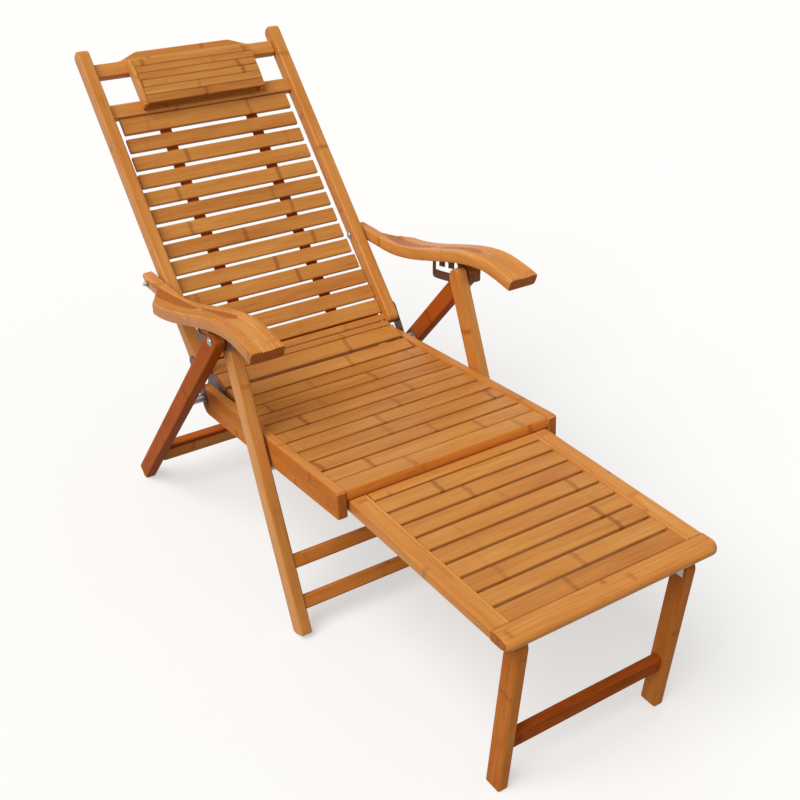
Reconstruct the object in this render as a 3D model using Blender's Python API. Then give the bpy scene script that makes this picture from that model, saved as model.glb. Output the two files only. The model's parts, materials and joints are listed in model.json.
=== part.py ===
"""Folding bamboo sun lounger with a five-step backrest and a pull-out footrest.

X runs towards the foot end, Y to the sitter's left and Z up, in metres. The
floor is Z = 0 and the middle of the overall length is X = 0. Each moving body
has an empty on its pivot, turned with the body, and its pieces are modelled in
that empty's axes.
"""

import math

import bmesh
import bpy
from mathutils import Vector

# Clearances.
FIT = 0.0003                # gap between pieces that touch
RUN = 0.0002                # a hole's radius over its bolt
SLIDE_PLAY = 0.0045         # footrest to seat rail, each side
LEG_PLAY = 0.0055           # seat rail to front leg, each side
PLATE_PLAY = 0.0006         # notch plate to the leg on each side of it

# Edges and round faces.
SOFT_EDGE = 0.0025          # chamfer on boards
SLAT_EDGE = 0.0015          # chamfer on slats
ROUND_SIDES = 20            # facets of a bolt
ARC_STEPS = 5               # facets of a rounded corner

# Pivots.
SEAT_PIVOT_Z = 0.345        # seat and backrest pivot, above the floor
LEG_PIN_FORWARD = 0.200     # leg pin, forward of the seat pivot
LEG_PIN_Z = 0.583           # leg pin, above the floor
BACK_LEAN = math.radians(43.2)          # backrest, back from upright
SEAT_RISE = math.radians(4.3)           # seat, up towards its front
FRONT_LEG_LEAN = math.radians(23.6)     # foot forward of the leg pin
REAR_LEG_LEAN = math.radians(40.9)      # foot behind the leg pin
FOOT_LEG_LEAN = math.radians(4.95)      # foot behind the footrest hinge

# Bolts and pegs, as radii.
BOLT_R = 0.004
BOLT_HEAD_R = 0.0075
BOLT_HEAD_T = 0.0048
COLLAR_R = 0.0085
BLIND_DEPTH = 0.016         # how far a bolt or peg enters a leg or rail blind
PEG_R = 0.006
SLIDE_PEG_R = 0.004
HINGE_PIN_R = 0.003

# Seat.
SEAT_WIDTH = 0.520          # over the outside of the rails
RAIL_T = 0.022
RAIL_FORWARD = 0.5716       # pivot to the rail's front end
RAIL_BACK = 0.0205          # pivot to the rail's rear end
RAIL_ABOVE = 0.0233         # pivot to the rail's top edge
RAIL_FRONT_H = 0.0575
RAIL_REAR_H = 0.066
RAIL_REAR_R = 0.028
SEAT_SLATS = 11
SEAT_SLAT_PITCH = 0.0473
SEAT_SLAT_W = 0.0413
SEAT_SLAT_T = 0.010
SEAT_RECESS = 0.003         # slats below the rail's top edge
DISH_LENGTH = 0.111         # rear stretch where the slats climb
DISH_RISE = 0.031
TAIL_W = 0.026              # narrow slat behind the last one
TAIL_RISE = 0.0282          # its top above the flat slats'
SHORT_SLATS = 2             # rearmost slats that pass between the stiles
REAR_SLAT_PLAY = 0.0015     # these slats and the tail to the stiles, each side
WEDGE_T = 0.012             # wedges that carry the climbing slats' ends
WEDGE_INSET = 0.004         # wedge from the short slats' ends
BEARER_W = 0.022
BEARER_T = 0.007
BEARER_INSET = 0.060        # bearer's middle from the slat's end
NOSE_W = 0.0482
NOSE_T = 0.016

# Legs.
LEG_T = 0.026
FRONT_LEG_DEPTH = 0.040
FRONT_LEG_BACK = 0.008      # front leg's middle line behind the leg pin
REAR_LEG_DEPTH = 0.040
LEG_TOP = 0.013             # leg pin to the leg's top end
LEG_TOP_R = 0.012
FRONT_LEG_SWING_R = 0.022   # front leg's top corner that swings under the arm
FOOT_FLAT = 0.012           # flat that the floor cuts on a square foot
FRONT_BARS = (0.4758, 0.5642)           # down the leg from the leg pin
FRONT_BAR_W = 0.028
FRONT_BAR_T = 0.018
REAR_BAR_DROP = 0.6355
REAR_BAR_H = 0.040
REAR_BAR_D = 0.028

# Footrest, level and carried on pegs in the seat rails.
FOOTREST_TOP_Z = 0.388
FOOTREST_REACH = 1.0395     # seat pivot to the front of the nose rail
FOOTREST_REAR = 0.510       # seat pivot to the rear end of the side rails
FOOTREST_RAIL_W = 0.038
FOOTREST_RAIL_H = 0.028
FOOTREST_NOSE_W = 0.0445
FOOTREST_NOSE_R = 0.012
FOOTREST_SLATS = 9
FOOTREST_SLAT_GAP = 0.0063
FOOTREST_SLAT_T = 0.009
FOOTREST_RECESS = 0.002
REAR_RAIL_W = 0.036
REAR_RAIL_H = 0.022
REAR_RAIL_INSET = 0.0458    # behind it, the side rails run on
SLIDE_PEG_INSET = 0.015     # peg from the side rail's rear end
SLIDE_TRAVEL = 0.400
GROOVE_DEPTH = 0.0105
FOOT_LEG_SETBACK = 0.035    # hinge behind the nose's front
FOOT_LEG_INSET = 0.0355     # outer face from the end of the nose rail
FOOT_LEG_T = 0.0225
FOOT_LEG_DEPTH = 0.038
FOOT_LEG_PLAY = 0.0008      # folded leg to the footrest's underside
STRETCHER_Z = 0.109
STRETCHER_W = 0.034
STRETCHER_T = 0.020
BRACKET_T = 0.0025
BRACKET_W = 0.024
BRACKET_REACH = 0.030

# Backrest, measured up the stile and forward from the seat pivot.
STILE_FRONT = 0.030
STILE_DEPTH = 0.035
STILE_T = 0.029
STILE_BOTTOM = 0.0444
STILE_LENGTH = 0.8095
STILE_END_R = 0.013
CROSS_RECESS = 0.014        # crest and head rail behind the stile's front
CROSS_T = 0.020
CREST_DROP = 0.0345         # stile's top to the crest rail's ends
CREST_END_H = 0.035
CREST_HUMP = 0.019
CREST_FLAT = 0.240          # length of the hump's flat top
CREST_SLOPE = 0.045         # run of each slope beside it
HEAD_OPENING = 0.071        # between crest and head rail
HEAD_RAIL_H = 0.0345
LOWER_RAIL_RECESS = 0.017
LOWER_RAIL_BOTTOM = 0.0545
LOWER_RAIL_H = 0.0165
LOWER_RAIL_T = 0.017
LOWER_RAIL_HEEL = 0.002     # rise of its lower face towards its back
BACK_SLATS = 14
BACK_SLAT_W = 0.0345
BACK_SLAT_T = 0.010
BACK_SLAT_RECESS = 0.019
BACK_SLAT_FIRST = 0.0075    # head rail to the top slat
BACK_SLAT_LAST = 0.0045     # lower rail to the bottom slat
BACK_SLAT_SAG = 0.0088      # middle slats below an even spacing
BACK_SLAT_END = 0.016       # slat's end to the stile
STRIP_W = 0.025
STRIP_T = 0.012
STRIP_INSET = 0.119         # strip's middle from the stile
HINGE_PLATE_T = 0.003
HINGE_PLATE_R = 0.014
HINGE_PLATE_UP = 0.080      # pivot to the middle of its upper end

# Headrest on the crest and head rails.
HEADREST_W = 0.309
HEADREST_RISE = 0.009       # above the head rail's lower edge
HEADREST_H = 0.1174
HEADREST_TOP_T = 0.022
HEADREST_BOTTOM_T = 0.024
HEADREST_BULGE = 0.006
HEADREST_STRIPS = 6

# Arms, measured forward and up from the arm pivot on the stile.
ARM_PIVOT_UP = 0.283        # up the stile from the seat pivot
ARM_PIVOT_FORWARD = 0.005
ARM_W = 0.070
ARM_T = 0.028
ARM_EDGE = 0.003
ARM_REAR = 0.034            # pivot to the rear tip
ARM_FRONT = 0.590
ARM_RISE = 0.088
ARM_RISE_FROM = 0.100
ARM_RISE_TO = 0.510
ARM_DROP = 0.008            # front end below the crest of the arm
ARM_NOSE_R = 0.006
TONGUE_W = 0.026
TONGUE_END = 0.066          # where the tongue starts to widen
HOLLOW = 1.25               # how hollow the widening is, 1 for straight
HORN_AT = 0.140             # where the arm has its full width
ARM_STATIONS = 30

# Notch plates under the arms.
ARM_SHARE = 0.28            # arm's own turn for each turn of the backrest
PLATE_T = 0.003
PLATE_SEAT = 0.009          # let into the arm
PLATE_RIM = 0.020
PLATE_WALL = 0.009
PLATE_CORNER_R = 0.008
NOTCHES = 5
REST_NOTCH = 3              # index from the rear
NOTCH_PITCH = 0.0352
NOTCH_W = 0.0165
NOTCH_DEPTH = 0.016
NOTCH_CHAMFER = 0.004
CHANNEL_PLAY = 0.002        # round the leg pin
PLATE_STATIONS = 13

# Half-widths, from the middle of the lounger outwards.
RAIL_OUT = SEAT_WIDTH / 2
RAIL_IN = RAIL_OUT - RAIL_T
STILE_OUT = RAIL_OUT
STILE_IN = STILE_OUT - STILE_T
HINGE_PLATE_IN = STILE_OUT + FIT
HINGE_PLATE_OUT = HINGE_PLATE_IN + HINGE_PLATE_T
FRONT_LEG_IN = RAIL_OUT + LEG_PLAY
FRONT_LEG_OUT = FRONT_LEG_IN + LEG_T
PLATE_IN = FRONT_LEG_OUT + PLATE_PLAY
PLATE_OUT = PLATE_IN + PLATE_T
REAR_LEG_IN = PLATE_OUT + PLATE_PLAY
REAR_LEG_OUT = REAR_LEG_IN + LEG_T
FOOTREST_OUT = RAIL_IN - SLIDE_PLAY
FOOTREST_IN = FOOTREST_OUT - FOOTREST_RAIL_W
FOOT_LEG_OUT = FOOTREST_OUT - FOOT_LEG_INSET
FOOT_LEG_IN = FOOT_LEG_OUT - FOOT_LEG_T
ARM_IN = FRONT_LEG_IN
ARM_OUT = ARM_IN + ARM_W
TONGUE_OUT = ARM_IN + TONGUE_W
STRIP_OUT = STILE_IN - STRIP_INSET

# Levels on the backrest, up the stile from the seat pivot.
STILE_TOP = STILE_BOTTOM + STILE_LENGTH
CREST_TOP = STILE_TOP - CREST_DROP
CREST_BOTTOM = CREST_TOP - CREST_END_H
HEAD_RAIL_TOP = CREST_BOTTOM - HEAD_OPENING
HEAD_RAIL_BOTTOM = HEAD_RAIL_TOP - HEAD_RAIL_H
HEADREST_BOTTOM = HEAD_RAIL_BOTTOM + HEADREST_RISE
LOWER_RAIL_TOP = LOWER_RAIL_BOTTOM + LOWER_RAIL_H
FIRST_SLAT = HEAD_RAIL_BOTTOM - BACK_SLAT_FIRST - BACK_SLAT_W / 2
LAST_SLAT = LOWER_RAIL_TOP + BACK_SLAT_LAST + BACK_SLAT_W / 2

SIDES = (("left", 1), ("right", -1))


class Frame:
    """A body's own axes: an empty on its pivot, turned about Y."""

    def __init__(self, name, x, z, turn, parent=None):
        self.x = x
        self.z = z
        self.turn = turn
        self.empty = bpy.data.objects.new(name, None)
        self.empty.location = (x, 0.0, z)
        self.empty.rotation_euler = (0.0, turn, 0.0)
        self.empty.parent = parent
        bpy.context.scene.collection.objects.link(self.empty)

    def outside(self, x, z):
        """A point of this frame in the lounger's axes."""
        cosine, sine = math.cos(self.turn), math.sin(self.turn)
        return self.x + x * cosine + z * sine, self.z - x * sine + z * cosine

    def inside(self, x, z):
        """A point of the lounger's axes in this frame."""
        cosine, sine = math.cos(self.turn), math.sin(self.turn)
        dx, dz = x - self.x, z - self.z
        return dx * cosine - dz * sine, dx * sine + dz * cosine


def make_material(name, colour, roughness, metallic):
    material = bpy.data.materials.new(name)
    material.use_nodes = True
    shader = material.node_tree.nodes["Principled BSDF"]
    shader.inputs["Base Color"].default_value = (*colour, 1.0)
    shader.inputs["Roughness"].default_value = roughness
    shader.inputs["Metallic"].default_value = metallic
    return material


def place(name, bm, material, frame, at=(0.0, 0.0, 0.0), turn=0.0, soft=0.0):
    """Make an object of a mesh in a frame, with chamfered edges if soft is given."""
    bmesh.ops.recalc_face_normals(bm, faces=bm.faces)
    mesh = bpy.data.meshes.new(name)
    bm.to_mesh(mesh)
    bm.free()
    mesh.shade_smooth()
    mesh.set_sharp_from_angle(angle=math.radians(35))
    if material:
        mesh.materials.append(material)
    piece = bpy.data.objects.new(name, mesh)
    piece.parent = frame.empty
    piece.location = at
    piece.rotation_euler = (0.0, turn, 0.0)
    bpy.context.scene.collection.objects.link(piece)
    if soft:
        bevel = piece.modifiers.new("soft edges", "BEVEL")
        bevel.width = soft
        bevel.segments = 1
        bevel.limit_method = "ANGLE"
        bevel.angle_limit = math.radians(40)
    return piece


def shape_by(piece, bm, frame, operation="DIFFERENCE", at=(0.0, 0.0, 0.0)):
    """Cut a hidden tool mesh out of a piece, or join it on."""
    tool = place(piece.name + "_tool", bm, None, frame, at)
    tool.display_type = "WIRE"
    tool.hide_render = True
    change = piece.modifiers.new(operation.lower(), "BOOLEAN")
    change.operation = operation
    change.solver = "EXACT"
    change.object = tool


def prism(outline, y_from, y_to):
    """A closed X-Z outline drawn out along Y."""
    bm = bmesh.new()
    near = [bm.verts.new((x, y_from, z)) for x, z in outline]
    far = [bm.verts.new((x, y_to, z)) for x, z in outline]
    bm.faces.new(near)
    bm.faces.new(far[::-1])
    for index in range(len(outline)):
        bm.faces.new((near[index], near[index - 1], far[index - 1], far[index]))
    return bm


def loft(sections):
    """A closed skin over rings of points that all have the same count."""
    bm = bmesh.new()
    rings = [[bm.verts.new(point) for point in section] for section in sections]
    count = len(rings[0])
    for ring, after in zip(rings, rings[1:]):
        for index in range(count):
            bm.faces.new((ring[index], ring[index - 1], after[index - 1], after[index]))
    bm.faces.new(rings[0])
    bm.faces.new(rings[-1][::-1])
    return bm


def turned(profile):
    """A round piece on the Y axis, from (place along Y, radius) steps."""
    sections = []
    for y, radius in profile:
        ring = []
        for index in range(ROUND_SIDES):
            angle = 2 * math.pi * index / ROUND_SIDES
            ring.append((radius * math.cos(angle), y, radius * math.sin(angle)))
        sections.append(ring)
    return loft(sections)


def box(x_from, x_to, y_from, y_to, z_from, z_to):
    return prism([(x_from, z_from), (x_to, z_from), (x_to, z_to), (x_from, z_to)], y_from, y_to)


def add_mesh(bm, extra):
    """Put one more shape into a mesh."""
    mesh = bpy.data.meshes.new("extra")
    extra.to_mesh(mesh)
    extra.free()
    bm.from_mesh(mesh)
    bpy.data.meshes.remove(mesh)


def rounded(corners):
    """Closed outline through (x, z, radius) corners, with an arc where the radius isn't 0."""
    outline = []
    count = len(corners)
    for index, (x, z, radius) in enumerate(corners):
        if radius == 0:
            outline.append((x, z))
            continue
        here = Vector((x, z))
        back = (Vector(corners[index - 1][:2]) - here).normalized()
        ahead = (Vector(corners[(index + 1) % count][:2]) - here).normalized()
        half = back.angle(ahead) / 2
        centre = here + (back + ahead).normalized() * (radius / math.sin(half))
        first = here + back * (radius / math.tan(half)) - centre
        sweep = math.copysign(math.pi - 2 * half, ahead.cross(back))
        for step in range(ARC_STEPS + 1):
            spoke = turn_back(first, sweep * step / ARC_STEPS)
            outline.append((centre.x + spoke.x, centre.y + spoke.y))
    return outline


def round_ended(start, start_r, end, end_r):
    """Outline of a link: a round end at each of two points, and its two tangents."""
    start, end = Vector(start), Vector(end)
    along = end - start
    heading = math.atan2(along.y, along.x)
    spread = math.acos((start_r - end_r) / along.length)
    outline = []
    for centre, radius, first, last in (
        (end, end_r, heading - spread, heading + spread),
        (start, start_r, heading + spread, heading + 2 * math.pi - spread),
    ):
        for step in range(2 * ARC_STEPS + 1):
            angle = first + (last - first) * step / (2 * ARC_STEPS)
            outline.append((centre.x + radius * math.cos(angle), centre.y + radius * math.sin(angle)))
    return outline


def turn_back(vector, angle):
    """Turn an X-Z vector the way that the backrest leans back."""
    cosine, sine = math.cos(angle), math.sin(angle)
    return Vector((vector[0] * cosine - vector[1] * sine, vector[0] * sine + vector[1] * cosine))


def drill(piece, frame, x, z, radius, y_from, y_to):
    """A round hole along Y."""
    shape_by(piece, turned([(y_from, radius), (y_to, radius)]), frame, at=(x, 0.0, z))


def build_leg(name, frame, side, inner, depth, back, low_top_r, lean, forward, material):
    """A leg from the leg pin to a square end, whose lowest corner the floor cuts flat."""
    below = FOOT_FLAT / (math.tan(lean) + 1 / math.tan(lean))
    low_edge = depth / 2 + back
    length = (LEG_PIN_Z + below - low_edge * math.sin(lean)) / math.cos(lean)
    low_x = -forward * low_edge
    high_x = forward * (depth / 2 - back)
    low_run = below / math.cos(lean)
    low_rise = below / math.sin(lean)
    outline = rounded([
        (high_x, -length, 0.0),
        (low_x + forward * low_rise, -length, 0.0),
        (low_x, -length + low_run, 0.0),
        (low_x, LEG_TOP, low_top_r),
        (high_x, LEG_TOP, LEG_TOP_R),
    ])
    bar = prism(outline, side * inner, side * (inner + LEG_T))
    return place(name, bar, material, frame, soft=SOFT_EDGE)


def build_rear_legs(frame, wood, steel):
    """The fixed body: outer legs, their crossbar, the leg pins and the seat pivots."""
    pivot_x, pivot_z = frame.inside(0.0, SEAT_PIVOT_Z)
    for name, side in SIDES:
        leg = build_leg(f"rear_leg_{name}", frame, side, REAR_LEG_IN,
                        REAR_LEG_DEPTH, 0.0, LEG_TOP_R, REAR_LEG_LEAN, -1, wood)
        drill(leg, frame, 0.0, 0.0, BOLT_R + RUN, side * (REAR_LEG_IN - LEG_T), side * (REAR_LEG_OUT + LEG_T))
        drill(leg, frame, pivot_x, pivot_z, BOLT_R + RUN,
              side * (REAR_LEG_IN - LEG_T), side * (REAR_LEG_IN + BLIND_DEPTH + FIT))
        head_in = REAR_LEG_OUT + FIT
        pin = turned([
            (side * (FRONT_LEG_OUT - BLIND_DEPTH), BOLT_R),
            (side * head_in, BOLT_R),
            (side * head_in, BOLT_HEAD_R),
            (side * (head_in + BOLT_HEAD_T / 2), BOLT_HEAD_R),
            (side * (head_in + BOLT_HEAD_T), BOLT_HEAD_R / 2),
        ])
        place(f"leg_pin_{name}", pin, steel, frame)
        head_out = RAIL_IN - FIT
        collar_in = HINGE_PLATE_OUT + FIT
        collar_out = REAR_LEG_IN - FIT
        bolt = turned([
            (side * (head_out - BOLT_HEAD_T), BOLT_HEAD_R),
            (side * head_out, BOLT_HEAD_R),
            (side * head_out, BOLT_R),
            (side * collar_in, BOLT_R),
            (side * collar_in, COLLAR_R),
            (side * collar_out, COLLAR_R),
            (side * collar_out, BOLT_R),
            (side * (REAR_LEG_IN + BLIND_DEPTH), BOLT_R),
        ])
        place(f"seat_pivot_{name}", bolt, steel, frame, at=(pivot_x, 0.0, pivot_z))
    reach = REAR_LEG_IN - FIT
    bar = box(-REAR_BAR_D / 2, REAR_BAR_D / 2, -reach, reach, -REAR_BAR_H / 2, REAR_BAR_H / 2)
    place("rear_crossbar", bar, wood, frame, at=(0.0, 0.0, -REAR_BAR_DROP), turn=-REAR_LEG_LEAN, soft=SOFT_EDGE)


def seat_peg_drop(front_legs, seat):
    """Where the front leg's middle line passes the rail's lower edge, down from the leg pin."""
    rail_rear = Vector(seat.outside(-RAIL_BACK, RAIL_ABOVE - RAIL_REAR_H))
    rail_front = Vector(seat.outside(RAIL_FORWARD, RAIL_ABOVE - RAIL_FRONT_H))
    edge = rail_front - rail_rear
    pin = Vector((front_legs.x, front_legs.z))
    down = Vector(front_legs.outside(0.0, -1.0)) - pin
    return edge.cross(rail_rear - pin) / edge.cross(down)


def build_front_legs(frame, peg_drop, wood, steel):
    """The inner legs, which swing on the leg pins and carry the seat on two pegs."""
    for name, side in SIDES:
        leg = build_leg(f"front_leg_{name}", frame, side, FRONT_LEG_IN,
                        FRONT_LEG_DEPTH, FRONT_LEG_BACK, FRONT_LEG_SWING_R, FRONT_LEG_LEAN, 1, wood)
        drill(leg, frame, 0.0, 0.0, BOLT_R + RUN,
              side * (FRONT_LEG_OUT - BLIND_DEPTH - FIT), side * (FRONT_LEG_OUT + LEG_T))
        drill(leg, frame, 0.0, -peg_drop, PEG_R + FIT,
              side * (FRONT_LEG_IN - LEG_T), side * (FRONT_LEG_IN + BLIND_DEPTH + FIT))
        peg = turned([
            (side * (RAIL_IN + SLIDE_PLAY), PEG_R),
            (side * (FRONT_LEG_IN + BLIND_DEPTH), PEG_R),
        ])
        place(f"seat_peg_{name}", peg, steel, frame, at=(0.0, 0.0, -peg_drop))
    reach = FRONT_LEG_IN - FIT
    for name, drop in zip(("upper", "lower"), FRONT_BARS):
        bar = box(-FRONT_BAR_T / 2, FRONT_BAR_T / 2, -reach, reach,
                  -FRONT_BAR_W / 2, FRONT_BAR_W / 2)
        place(f"front_crossbar_{name}", bar, wood, frame, at=(0.0, 0.0, -drop), soft=SOFT_EDGE)


def seat_top(x):
    """Height of the seat slats' top at a place along the seat, in the seat's axes."""
    last_slat = RAIL_FORWARD - NOSE_W - SEAT_SLATS * SEAT_SLAT_PITCH
    into_dish = min(max((last_slat + DISH_LENGTH - x) / DISH_LENGTH, 0.0), 1.0)
    return RAIL_ABOVE - SEAT_RECESS + DISH_RISE * into_dish ** 2


def slat_places():
    """Middle of each seat slat along the seat, from the front."""
    first = RAIL_FORWARD - NOSE_W - SEAT_SLAT_PITCH / 2
    return [first - index * SEAT_SLAT_PITCH for index in range(SEAT_SLATS)]


def slat_seat(x):
    """Height of a seat slat's middle and its tilt, from where its two edges lie."""
    rear = seat_top(x - SEAT_SLAT_W / 2)
    front = seat_top(x + SEAT_SLAT_W / 2)
    return (rear + front) / 2, math.atan2(front - rear, SEAT_SLAT_W)


def build_seat(frame, wood, peg_at, slide_peg_at):
    """Rails, front nose and the slat panel, which dishes up towards the backrest."""
    front_bottom = RAIL_ABOVE - RAIL_FRONT_H
    rear_bottom = RAIL_ABOVE - RAIL_REAR_H
    outline = rounded([
        (-RAIL_BACK, rear_bottom, RAIL_REAR_R),
        (RAIL_FORWARD, front_bottom, 0.0),
        (RAIL_FORWARD, RAIL_ABOVE, 0.0),
        (-RAIL_BACK, RAIL_ABOVE, PEG_R),
    ])
    groove_r = SLIDE_PEG_R + RUN
    peg_x, peg_z = slide_peg_at
    groove = round_ended((peg_x - SLIDE_TRAVEL, peg_z), groove_r, (peg_x, peg_z), groove_r)
    for name, side in SIDES:
        rail = prism(outline, side * RAIL_IN, side * RAIL_OUT)
        rail = place(f"seat_rail_{name}", rail, wood, frame, soft=SOFT_EDGE)
        drill(rail, frame, 0.0, 0.0, BOLT_R + RUN, side * (RAIL_IN - RAIL_T), side * (RAIL_OUT + RAIL_T))
        drill(rail, frame, *peg_at, PEG_R + FIT, side * (RAIL_IN - RAIL_T), side * (RAIL_OUT + RAIL_T))
        cut = prism(groove, side * (RAIL_IN - RAIL_T), side * (RAIL_IN + GROOVE_DEPTH))
        shape_by(rail, cut, frame)

    reach = RAIL_IN - FIT
    nose_top = RAIL_ABOVE - SEAT_RECESS
    nose = rounded([
        (RAIL_FORWARD - NOSE_W, nose_top - NOSE_T, 0.0),
        (RAIL_FORWARD, nose_top - NOSE_T, NOSE_T / 4),
        (RAIL_FORWARD, nose_top, NOSE_T / 2),
        (RAIL_FORWARD - NOSE_W, nose_top, 0.0),
    ])
    place("seat_nose", prism(nose, -reach, reach), wood, frame)

    places = slat_places()
    flat = RAIL_ABOVE - SEAT_RECESS
    rear_edge = places[-1] - SEAT_SLAT_W / 2
    tail = rear_edge - (SEAT_SLAT_PITCH - SEAT_SLAT_W) - TAIL_W / 2
    overlap = SLAT_EDGE / 2
    tops = [(RAIL_FORWARD - NOSE_W - FIT, flat)]
    tops += [(x, slat_seat(x)[0]) for x in places]
    tops.append((rear_edge, seat_top(rear_edge)))
    tops.append((tail + TAIL_W / 2, flat + TAIL_RISE))
    tops.append((tail - TAIL_W / 2, flat + TAIL_RISE))
    under = [(x, top - SEAT_SLAT_T + overlap) for x, top in tops]
    lower = [(x, top - SEAT_SLAT_T - BEARER_T) for x, top in reversed(tops)]
    middle = reach - BEARER_INSET
    panel = prism(under + lower, -middle - BEARER_W / 2, -middle + BEARER_W / 2)
    add_mesh(panel, prism(under + lower, middle - BEARER_W / 2, middle + BEARER_W / 2))

    rear_reach = STILE_IN - REAR_SLAT_PLAY
    wedge_out = rear_reach - WEDGE_INSET
    base = flat - SEAT_SLAT_T
    wedge = [(x, height) for x, height in under if height > base + SLAT_EDGE]
    wedge += [(tail - TAIL_W / 2, base), (wedge[0][0], base)]
    for side in (1, -1):
        add_mesh(panel, prism(wedge, side * wedge_out, side * (wedge_out - WEDGE_T)))
    slats = bmesh.new()
    for index, x in enumerate(places):
        slat_reach = reach if index < SEAT_SLATS - SHORT_SLATS else rear_reach
        add_slat(slats, x, *slat_seat(x), SEAT_SLAT_W, SEAT_SLAT_T, slat_reach)
    add_slat(slats, tail, flat + TAIL_RISE, 0.0, TAIL_W, SEAT_SLAT_T, rear_reach)
    slat_panel = place("seat_slat_panel", panel, wood, frame)
    shape_by(slat_panel, slats, frame, "UNION")


def add_slat(bm, x, top, slope, width, thickness, reach):
    """Put a slat with chamfered top edges into a panel's mesh, tilted along the panel."""
    half = width / 2
    section = [
        (-half, -thickness),
        (half, -thickness),
        (half, -SLAT_EDGE),
        (half - SLAT_EDGE, 0.0),
        (-half + SLAT_EDGE, 0.0),
        (-half, -SLAT_EDGE),
    ]
    turned_section = [turn_back(point, slope) for point in section]
    add_mesh(bm, prism([(x + point.x, top + point.y) for point in turned_section], -reach, reach))


def build_footrest(frame, hinge, wood, steel):
    """A level frame of slats that slides under the seat, with brackets for its legs."""
    top = FOOTREST_TOP_Z - frame.z
    bottom = top - FOOTREST_RAIL_H
    front = FOOTREST_REACH - frame.x
    nose_back = front - FOOTREST_NOSE_W
    rear = FOOTREST_REAR - frame.x
    for name, side in SIDES:
        rail = box(rear, nose_back - FIT, side * FOOTREST_IN, side * FOOTREST_OUT, bottom, top)
        rail = place(f"footrest_rail_{name}", rail, wood, frame, soft=SOFT_EDGE)
        drill(rail, frame, 0.0, 0.0, SLIDE_PEG_R + FIT,
              side * (FOOTREST_OUT - BLIND_DEPTH - FIT), side * (FOOTREST_OUT + BLIND_DEPTH))
        peg = turned([
            (side * (FOOTREST_OUT - BLIND_DEPTH), SLIDE_PEG_R),
            (side * (RAIL_IN + GROOVE_DEPTH - FIT), SLIDE_PEG_R),
        ])
        place(f"footrest_peg_{name}", peg, steel, frame)

    nose = rounded([
        (nose_back, bottom, 0.0),
        (front, bottom, FOOTREST_NOSE_R),
        (front, top, FOOTREST_NOSE_R),
        (nose_back, top, 0.0),
    ])
    place("footrest_nose_rail", prism(nose, -FOOTREST_OUT, FOOTREST_OUT), wood, frame, soft=SLAT_EDGE)

    reach = FOOTREST_IN - FIT
    slats_back = rear + REAR_RAIL_INSET + REAR_RAIL_W
    rear_rail = box(slats_back - REAR_RAIL_W, slats_back, -reach, reach, top - REAR_RAIL_H, top)
    place("footrest_rear_rail", rear_rail, wood, frame, soft=SLAT_EDGE)

    slat_top = top - FOOTREST_RECESS
    slat_bottom = slat_top - FOOTREST_SLAT_T
    panel = bmesh.new()
    for side in (1, -1):
        middle = side * (reach - BEARER_INSET)
        add_mesh(panel, box(slats_back + FIT, nose_back - FIT, middle - BEARER_W / 2, middle + BEARER_W / 2,
                            slat_bottom - BEARER_T, slat_bottom + SLAT_EDGE / 2))
    slats = bmesh.new()
    pitch = (nose_back - slats_back) / FOOTREST_SLATS
    for index in range(FOOTREST_SLATS):
        x = nose_back - (index + 0.5) * pitch
        add_slat(slats, x, slat_top, 0.0, pitch - FOOTREST_SLAT_GAP, FOOTREST_SLAT_T, reach)
    slat_panel = place("footrest_slat_panel", panel, wood, frame)
    shape_by(slat_panel, slats, frame, "UNION")

    hinge_x = hinge.x - frame.x
    hinge_z = hinge.z - frame.z
    under = bottom - FIT
    ear_out = FOOT_LEG_IN - FIT
    ear_in = ear_out - BRACKET_T
    for name, side in SIDES:
        bracket = box(hinge_x - BRACKET_W / 2, hinge_x + BRACKET_W / 2, side * ear_in, side * ear_out,
                      hinge_z - BRACKET_W / 2, under)
        bracket = place(f"footrest_bracket_{name}", bracket, steel, frame)
        flange = box(hinge_x - BRACKET_W / 2, hinge_x + BRACKET_W / 2, side * (ear_in - BRACKET_REACH),
                     side * (ear_out - BRACKET_T / 2), under - BRACKET_T, under)
        shape_by(bracket, flange, frame, "UNION")
        pin = turned([
            (side * (ear_in + BRACKET_T / 2), HINGE_PIN_R),
            (side * (FOOT_LEG_IN + BLIND_DEPTH), HINGE_PIN_R),
        ])
        shape_by(bracket, pin, frame, "UNION", at=(hinge_x, 0.0, hinge_z))


def build_footrest_legs(frame, wood):
    """Two legs and a stretcher, hinged under the footrest's nose."""
    half = FOOT_LEG_DEPTH / 2
    front_foot = -(frame.z / math.cos(FOOT_LEG_LEAN)) + half * math.tan(FOOT_LEG_LEAN)
    rear_foot = -(frame.z / math.cos(FOOT_LEG_LEAN)) - half * math.tan(FOOT_LEG_LEAN)
    outline = [(-half, rear_foot), (half, front_foot)]
    for step in range(2 * ARC_STEPS + 1):
        angle = math.pi * step / (2 * ARC_STEPS)
        outline.append((half * math.cos(angle), half * math.sin(angle)))
    for name, side in SIDES:
        leg = prism(outline, side * FOOT_LEG_IN, side * FOOT_LEG_OUT)
        leg = place(f"footrest_leg_{name}", leg, wood, frame, soft=SOFT_EDGE)
        drill(leg, frame, 0.0, 0.0, HINGE_PIN_R + RUN,
              side * (FOOT_LEG_IN - FOOT_LEG_T), side * (FOOT_LEG_IN + BLIND_DEPTH + FIT))
    reach = FOOT_LEG_IN - FIT
    drop = (frame.z - STRETCHER_Z) / math.cos(FOOT_LEG_LEAN)
    bar = box(-STRETCHER_T / 2, STRETCHER_T / 2, -reach, reach, -STRETCHER_W / 2, STRETCHER_W / 2)
    place("footrest_stretcher", bar, wood, frame, at=(0.0, 0.0, -drop), soft=SOFT_EDGE)


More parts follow.
